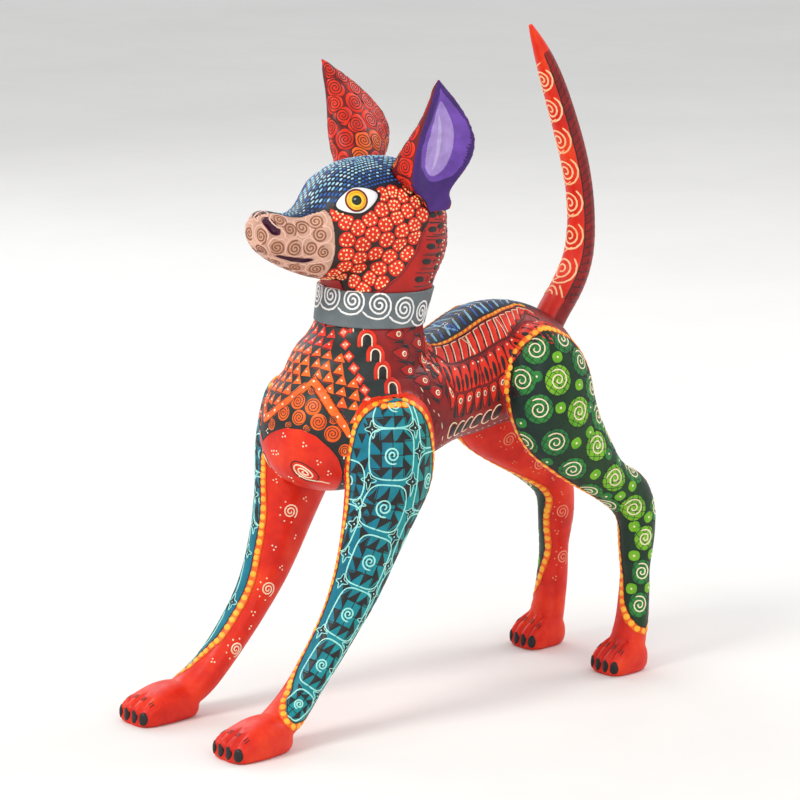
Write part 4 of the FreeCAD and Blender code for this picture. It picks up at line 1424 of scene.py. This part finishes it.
ROPE_HALF, SLANT = 1.9, 2.6
PETAL = [(-1.9, 10), (-2.0, 5), (-1.5, 1.4), (0, 0), (1.5, 1.4), (2.0, 5), (1.9, 10), (0, 10)]
DROP = [(-2.1, 1.4), (-1.3, 0), (1.3, 0), (2.1, 1.4), (1.3, 5), (0, 8.6), (-1.3, 5)]
THORN = [(1.5, 8.8), (1.9, 5.6), (2.35, 3.4), (2.8, 5.6), (3.2, 8.8), (2.35, 8.8)]
for side in SIDES.values():
    flank = sided(body_chart, side)
    key = "dog", "body"
    for shift, colour, width, high in ((0.0, "orange", 1.9, 0.12), (-1.1, "black", 0.4, 0.14),
                                       (1.1, "black", 0.4, 0.14)):
        line(flank, [(s, a + shift) for s, a in ROPE if a > 1], width, high, (*key, colour))
    for s in np.arange(49, 117, 2.3):
        a = edge(ROPE, s)
        patch(flank, oval(s, a, 1.15, 0.62, -0.35, 12), 0.34, (*key, "yellow"), bevel=0.4)
    for k, s in enumerate(np.arange(52, 112, 2.9)):
        a = edge(ROPE, s)
        reach = a - 2.4
        if reach < 1.5:
            continue
        line(flank, [(s, a - 1.9), (s + 2.6, a - 1.9 - reach)], 1.0, 0.1, (*key, ("blue", "sky")[k % 2]), ends=1.6)
        line(flank, [(s + 2.2, 1.3), (s + 3.3, 0.35)], 0.5, 0.13, (*key, "white"))
    for s in np.arange(47.5, 113, 3.35):
        top, bottom = edge(ROPE, s) + ROPE_HALF, row_bottom(s)
        if not free(side, s, (top + bottom) / 2, 1.5) or bottom - top < 2:
            continue
        half_way = (top + bottom) / 2
        shape = [(s - SLANT, bottom), (s - SLANT + 1.2, bottom), (s + 2.4 - SLANT, bottom),
                 (s + 2.4 - SLANT * 0.4, half_way), (s + 2.4, top), (s + 1.2, top), (s, top),
                 (s - SLANT * 0.5, half_way)]
        patch(flank, shape, 0.09, (*key, "bright_red"), bevel=0.2)
        line(flank, [(s - SLANT, bottom), (s, top), (s + 2.3, top + 0.1)], 0.46, 0.15, (*key, "cream"))
        line(flank, [(s + 2.9 - SLANT, bottom), (s + 2.9, top)], 0.34, 0.12, (*key, "black"))
    lower = [(s, row_bottom(s) + 0.6) for s in np.arange(46, 114, 1.5)]
    line(flank, [q for q in lower if free(side, *q, 1.0)], 0.36, 0.12, (*key, "black"))
    for s, top in row(side, 46.6, 112, 4.35, 11.6, 5, 1.2):
        patch(flank, moved(PETAL, s, top), 0.08, (*key, "bright_red"), bevel=0.25)
        patch(flank, oval(s, top + 6.9, 0.85, 3.1, 0, 14), 0.14, (*key, "black"), bevel=0.2)
        for x in (-2.15, 2.15):
            line(flank, [(s + x * 0.9, top + 0.8), (s + x, top + 4), (s + x, top + 10)], 0.34, 0.11, (*key, "black"))
        dot(flank, s, top + 1.6, 0.42, (*key, "cream"), 0.25)
    for s, top in row(side, 46.2, 104, 4.7, 22.4, 3, 1.0):
        patch(flank, moved(DROP, s, top), 0.09, (*key, "bright_red"), bevel=0.25)
        line(flank, moved(DROP, s, top), 0.32, 0.13, (*key, "black"), closed=True)
        patch(flank, moved(THORN, s, top), 0.1, (*key, "black"), bevel=0.2)
        ring_dot(flank, s, top + 2.4, ((1.2, 0.2, "cream"), (0.78, 0.27, "deep_red"), (0.32, 0.34, "cream")), key,
                 0.85, bevel=0.2)
    for s, top in row(side, 59.0, 104, 4.5, 32.6, 3.5, 1.0):
        patch(flank, oval(s + 0.5, top + 3.6, 1.7, 2.7, 0, 16), 0.09, (*key, "black"), bevel=0.25)
        loop = [(s + 2.3 * math.cos(t), top + 3.6 + 3.4 * math.sin(t)) for t in np.linspace(-0.9, -5.4, 18)]
        line(flank, loop, 0.55, 0.17, (*key, "cream"))
    for s in np.arange(36, 104, 2.6):
        a = edge(ROPE, s) + 43.5
        if free(side, s, a, 0.6):
            line(flank, [(s, a), (s + 0.9, a + 0.5)], 0.42, 0.13, (*key, "cream"))
        if free(side, s, a + 3.6, 0.6):
            patch(flank, oval(s, a + 4.0, 0.7, 2.2, 0.3, 12), 0.09, (*key, "deep_red"), bevel=0.2)

torso_corners = np.unique(skin_quads[label == names.index("torso")])
RUMP_START, BELLY_EDGE, BELLY_START, RUMP_PITCH, TAIL_CLEAR = 119, 62, 60, 7.4, 13
on_rump = body_s[torso_corners] > RUMP_START
on_belly = (body_b[torso_corners] > BELLY_EDGE) & (body_s[torso_corners] > BELLY_START)
bare = torso_corners[on_rump | on_belly]
tail_root = np.array([0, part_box("tail")[0].y / MM + 4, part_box("tail")[0].z / MM + 4])
for p in even_spots(skin[bare], RUMP_PITCH):
    face = skin_tree.find_nearest(Vector(p))[2]
    if "leg" in names[label[face]] or np.linalg.norm(p - tail_root) < TAIL_CLEAR:
        continue
    place = at_place(p)
    patch(place, oval(0, 0, 2.9, 2.1, 0.3, 18), 0.08, ("dog", "body", "bright_red"), bevel=0.25)
    ring_dot(place, 0, 0, ((1.1, 0.19, "cream"), (0.72, 0.26, "deep_red"), (0.3, 0.33, "cream")), ("dog", "body"),
             n=12)

# ---------------------------------------------------------------- painting: the ears

EAR_PITCH, EAR_DISC = 6.1, 4.2
for name in SIDES:
    tree, co, quads = ear_skins[name]
    lateral = ear_lateral[name]
    low = co[:, 2].min()

    def off_face(p, tree=tree, quads=quads, lateral=lateral):
        """How far a place on the ear lies outside its purple side."""
        return -float(lateral[quads[tree.find_nearest(Vector(p))[2]]].mean())

    outer = np.array([tree.ray_cast(Vector(p + 0.4 * n), Vector(n), 9.0)[0] is None
                      for p, n in zip(co, normals_of(co, quads))])
    spots = even_spots(co[(lateral < -0.5) & outer], EAR_PITCH, tree)
    for p in spots:
        place = at_place(p, tree=tree)
        outline = cell(place, spots, 0.05, EAR_DISC, off_face, 0.2, 26)
        r = float(np.mean([math.hypot(*q) for q in outline]))
        if r < 1.0:
            continue
        shade = "orange" if p[2] < low + 24 and rng.random() < 0.5 else "bright_red"
        patch(place, outline, 0.07, (f"{name}_ear", "swirls", shade), bevel=0.15)
        line(place, curl(0, 0, r * 0.92, 0.55 + 0.62 * r, rng.uniform(0, 6.3), 1, 1.0, 0.08), 0.44, 0.16,
             (f"{name}_ear", "swirls", "ear_line"))

# ---------------------------------------------------------------- painting: the head

HEAD_KEY = "dog", "head"
MOUTH_LENGTH, NOSTRIL_LENGTH = 15.0, 9.0
CHEEK_PITCH, MUZZLE_PITCH = 4.55, 5.4
NAPE_RADIUS, NAPE_LEVEL, NAPE_PITCH = 24, 153.5, 5.15
lines_cut = {side: [np.array(head_place(side * x, v, z)) for path in (MOUTH, NOSTRIL) for p, q in zip(path, path[1:])
                    for x, v, z in np.linspace(p, q, 5)] for side in SIDES.values()}
head_spots = {}
for side in SIDES.values():
    on_side = (head_a * side > 0.6) & (skin[:, 2] > 148)
    eye_near = np.linalg.norm((skin - np.array(head_place(side * EYE[0], *EYE[1:]))) / (8.2, 8.2, 5.0), axis=1) < 1
    near_cut = np.min([np.linalg.norm(skin - p, axis=1) for p in lines_cut[side]], axis=0) < 1.7
    head_spots[side] = {
        "cheek": even_spots(skin[on_side & (grounds["cheek"] > 1.1) & (grounds["muzzle"] < -1.2)
                                 & (grounds["cap"] < -0.9) & ~eye_near & (head_a * side < 58)], CHEEK_PITCH),
        "muzzle": even_spots(skin[on_side & (grounds["muzzle"] > 1.4) & ((grounds["cap"] < -1.0) | (head_s < 2))
                                  & ~near_cut], MUZZLE_PITCH)}
for name, side in SIDES.items():
    face = sided(head_chart, side)
    for line_number, s in enumerate(np.arange(7.5, 63.0, 1.5)):
        limit = edge(CAP_EDGE, s)
        for k, a in enumerate(np.arange(0.75, limit - 0.4, 1.45)):
            share = a / max(limit, 1)
            if share > 0.8 or s > 52:
                colour = "blue"
            elif share > 0.55:
                colour = ("blue", "sky", "blue")[(k + line_number) % 3]
            else:
                colour = ("sky", "white_blue", "sky", "blue")[int(rng.random() * 3.6)]
            size = 0.64 if s > 18 else 0.5
            grain = oval(s + (0.75 if k % 2 else 0.0), a, size, size * 0.66, 0.35, 8)
            patch(face, grain, 0.13, (*HEAD_KEY, colour), bevel=0.2)
    middle, long, tall = eye_frame(side, -0.2)
    out = np.cross(long, tall)
    out *= np.sign(out[0] * side)

    def eye(u, v, middle=middle, long=long, tall=tall, out=out):
        spot = middle + u * long + v * tall
        return seen(spot + 9 * out, -out, 22, (spot, out))

    lids = [(7.7 * math.copysign(abs(math.cos(t)) ** 1.25, math.cos(t)),
             4.55 * math.sin(t) * (1 - 0.25 * abs(math.cos(t)) ** 2))
            for t in all_round(36)]
    patch(eye, [(u * 1.09, v * 1.12) for u, v in lids], 0.1, (*HEAD_KEY, "black"), bevel=0.3)
    patch(eye, lids, 0.2, (*HEAD_KEY, "white"), bevel=0.3)
    for r, high, colour in ((4.15, 0.3, "brown_red"), (3.45, 0.42, "iris"), (1.85, 0.5, "pupil")):
        patch(eye, oval(-0.5, 0.1, r, r, 0, 26), high, (*HEAD_KEY, colour), bevel=0.2)
    line(eye, oval(-0.5, 0.1, 2.7, 2.7, 0, 22), 0.4, 0.48, (*HEAD_KEY, "amber"), closed=True)
    patch(eye, oval(-0.9, 0.6, 0.55, 0.4, 0.4, 10), 0.56, (*HEAD_KEY, "glint"), bevel=0.1)

    def clear(p, what, middle=middle, long=long, tall=tall, side=side):
        """How far a place on the head lies inside a ground colour and outside the eye."""
        p = np.array(p)
        u, v = abs((p - middle) @ long), abs((p - middle) @ tall)
        depth = min(ground_at(what, p), ground_at("head_side", p) * side)
        if what == "cheek":
            depth = min(depth, -ground_at("muzzle", p), -ground_at("cap", p))
        if what == "muzzle":
            depth = min(depth, max(-ground_at("cap", p), 2 - ground_at("tip", p)),
                        min(np.linalg.norm(p - q) for q in lines_cut[side]) - 1.3)
        return min(depth, 5 * ((u / 8.8) ** 1.5 + (v / 5.35) ** 1.5 - 1))

    for p in head_spots[side]["cheek"]:
        place = at_place(p)
        outline = cell(place, head_spots[side]["cheek"], 0.05, 3.1, lambda q: clear(q, "cheek"), 0.1)
        if max(math.hypot(*q) for q in outline) < 1.0:
            continue
        patch(place, outline, 0.09, (*HEAD_KEY, "bright_red"), bevel=0.15)
        dot(place, 0, 0, 0.46, (*HEAD_KEY, "buff"), 0.24, 8)
        turn = rng.randrange(22)
        for k in range(8):
            q = outline[int(turn + k * 22 / 8) % 22]
            if math.hypot(*q) > 1.1:
                dot(place, q[0] * 0.66, q[1] * 0.66, 0.44, (*HEAD_KEY, "buff"), 0.24, 8)
    for p in head_spots[side]["muzzle"]:
        place = at_place(p)
        outline = cell(place, head_spots[side]["muzzle"], 0.0, 4.0, lambda q: clear(q, "muzzle"), 0.2)
        r = float(np.mean([math.hypot(*q) for q in outline]))
        if r < 1.1:
            continue
        line(place, outline, 0.6, 0.1, (*HEAD_KEY, "blush"), closed=True)
        short = min(math.hypot(*q) for q in outline)
        path = curl(0, 0, min(r * 0.88, short * 1.25), 0.6 + 0.5 * r, rng.uniform(0, 6.3), -1, 1.0, 0.1)
        line(place, path, 0.66, 0.13, (*HEAD_KEY, "brown"))
    rear = [(edge(CHEEK_REAR, a), a) for a in np.arange(19, 60, 2.0)]
    line(face, rear, 1.1, 0.12, (*HEAD_KEY, "red"))
    for shift in (-0.8, 0.8):
        line(face, [(s + shift, a) for s, a in rear], 0.36, 0.15, (*HEAD_KEY, "black"))

    def lip(u, v, side=side):
        """Along the mouth: u from its front to its end in mm, v up."""
        path = np.array([head_place(side * x, w, z) for x, w, z in MOUTH])
        return touch(skin_tree, on_path(path, lengths_along(path), u) + np.array([0, 0, v]))

    shape = [(MOUTH_LENGTH * (0.5 - 0.5 * math.cos(t)), (1.0 if math.sin(t) > 0 else 0.75) * math.sin(t))
             for t in all_round(30)]
    patch(lip, shape, 0.06, (*HEAD_KEY, "plum"), bevel=0.2, coarse=0.7)

    def snout(u, v, side=side):
        """Along the nostril: u from its front to its end in mm, v across it."""
        path = np.array([head_place(side * x, w, z) for x, w, z in NOSTRIL])
        along = (path[-1] - path[0]) / np.linalg.norm(path[-1] - path[0])
        across = np.cross(along, [side, -0.4, 0.1])
        p = on_path(path, lengths_along(path), u) + across / np.linalg.norm(across) * v
        return touch(skin_tree, p)

    shape = [(NOSTRIL_LENGTH * (0.5 - 0.5 * math.cos(t)), (1.3 if math.sin(t) > 0 else 2.6) * math.sin(t))
             for t in all_round(24)]
    patch(snout, shape, 0.05, (*HEAD_KEY, "plum"), bevel=0.2, coarse=0.7)


def front_lip(u, v):
    return touch(skin_tree, head_place(u, -49.2, 168.9 + v))


patch(front_lip, oval(0, 0, 3.0, 0.55, 0, 16), 0.06, (*HEAD_KEY, "plum"), bevel=0.15, coarse=0.7)

for side in SIDES.values():
    for x, v, z in ((19.7, 11.5, 178.9), (19.5, 11.6, 173.7), (19.3, 11.1, 167.7), (19.9, 8.8, 162.6),
                    (19.8, 5.7, 156.6)):
        place = at_place(head_place(side * x, v, z), (0, 0.12, 1.0))
        patch(place, oval(0, 0.4, 1.15, 2.5, 0, 18), 0.12, (*HEAD_KEY, "black"), bevel=0.3)
        for u in (-2.6, 2.3):
            line(place, [(u, -2.0), (u, 3), (u * 0.9, 8), (u * 0.8, 12)], 0.36, 0.11, (*HEAD_KEY, "black"))
        line(place, [(-0.9, 4.4), (0.9, 4.9)], 0.4, 0.12, (*HEAD_KEY, "black"))
        for u, v in ((-1.4, 7.6), (0.2, 8.4), (1.6, 7.8)):
            dot(place, u, v, 0.36, (*HEAD_KEY, "cream"), 0.22, 8)
    for i in range(7):
        for turn in (0.62, 1.02, 1.42):
            z = NAPE_LEVEL + NAPE_PITCH * i + (2.5 if turn == 1.02 else 0)
            spot = head_place(side * NAPE_RADIUS * math.cos(turn), 3 + NAPE_RADIUS * math.sin(turn), z)
            place = at_place(spot, (0, 0.1, 1), (-side, 1.0, 0))
            patch(place, oval(0, 0, 1.0, 2.3, 0, 16), 0.12, (*HEAD_KEY, "black"), bevel=0.3)
            line(place, [(2.5, v) for v in np.linspace(-4.2, 4.2, 9)], 0.34, 0.11, (*HEAD_KEY, "black"))
            dot(place, 0.2, 3.9, 0.42, (*HEAD_KEY, "cream"), 0.22, 8)

# ---------------------------------------------------------------- the paint becomes objects

for (body, place, colour), (points, faces) in buckets.items():
    store(f"paint_{body}_{place}_{colour}", points, faces, ink(colour), body)

# ---------------------------------------------------------------- floor

floor_paint = material("floor_paper", brushed((0.80, 0.79, 0.77), (0.84, 0.83, 0.81), 6.0), rough=(0.55, 0.7),
                       coat=0.0, bump=0.02, grain=90.0, spec=0.2)
FLOOR_RADIUS, FLOOR_LEVEL, FLOOR_CORNERS = 2500, -0.05, 48
ring = [(FLOOR_RADIUS * math.cos(t), FLOOR_RADIUS * math.sin(t), FLOOR_LEVEL) for t in all_round(FLOOR_CORNERS)]
floor = store("floor", ring, [list(range(FLOOR_CORNERS))], floor_paint, smooth=False)
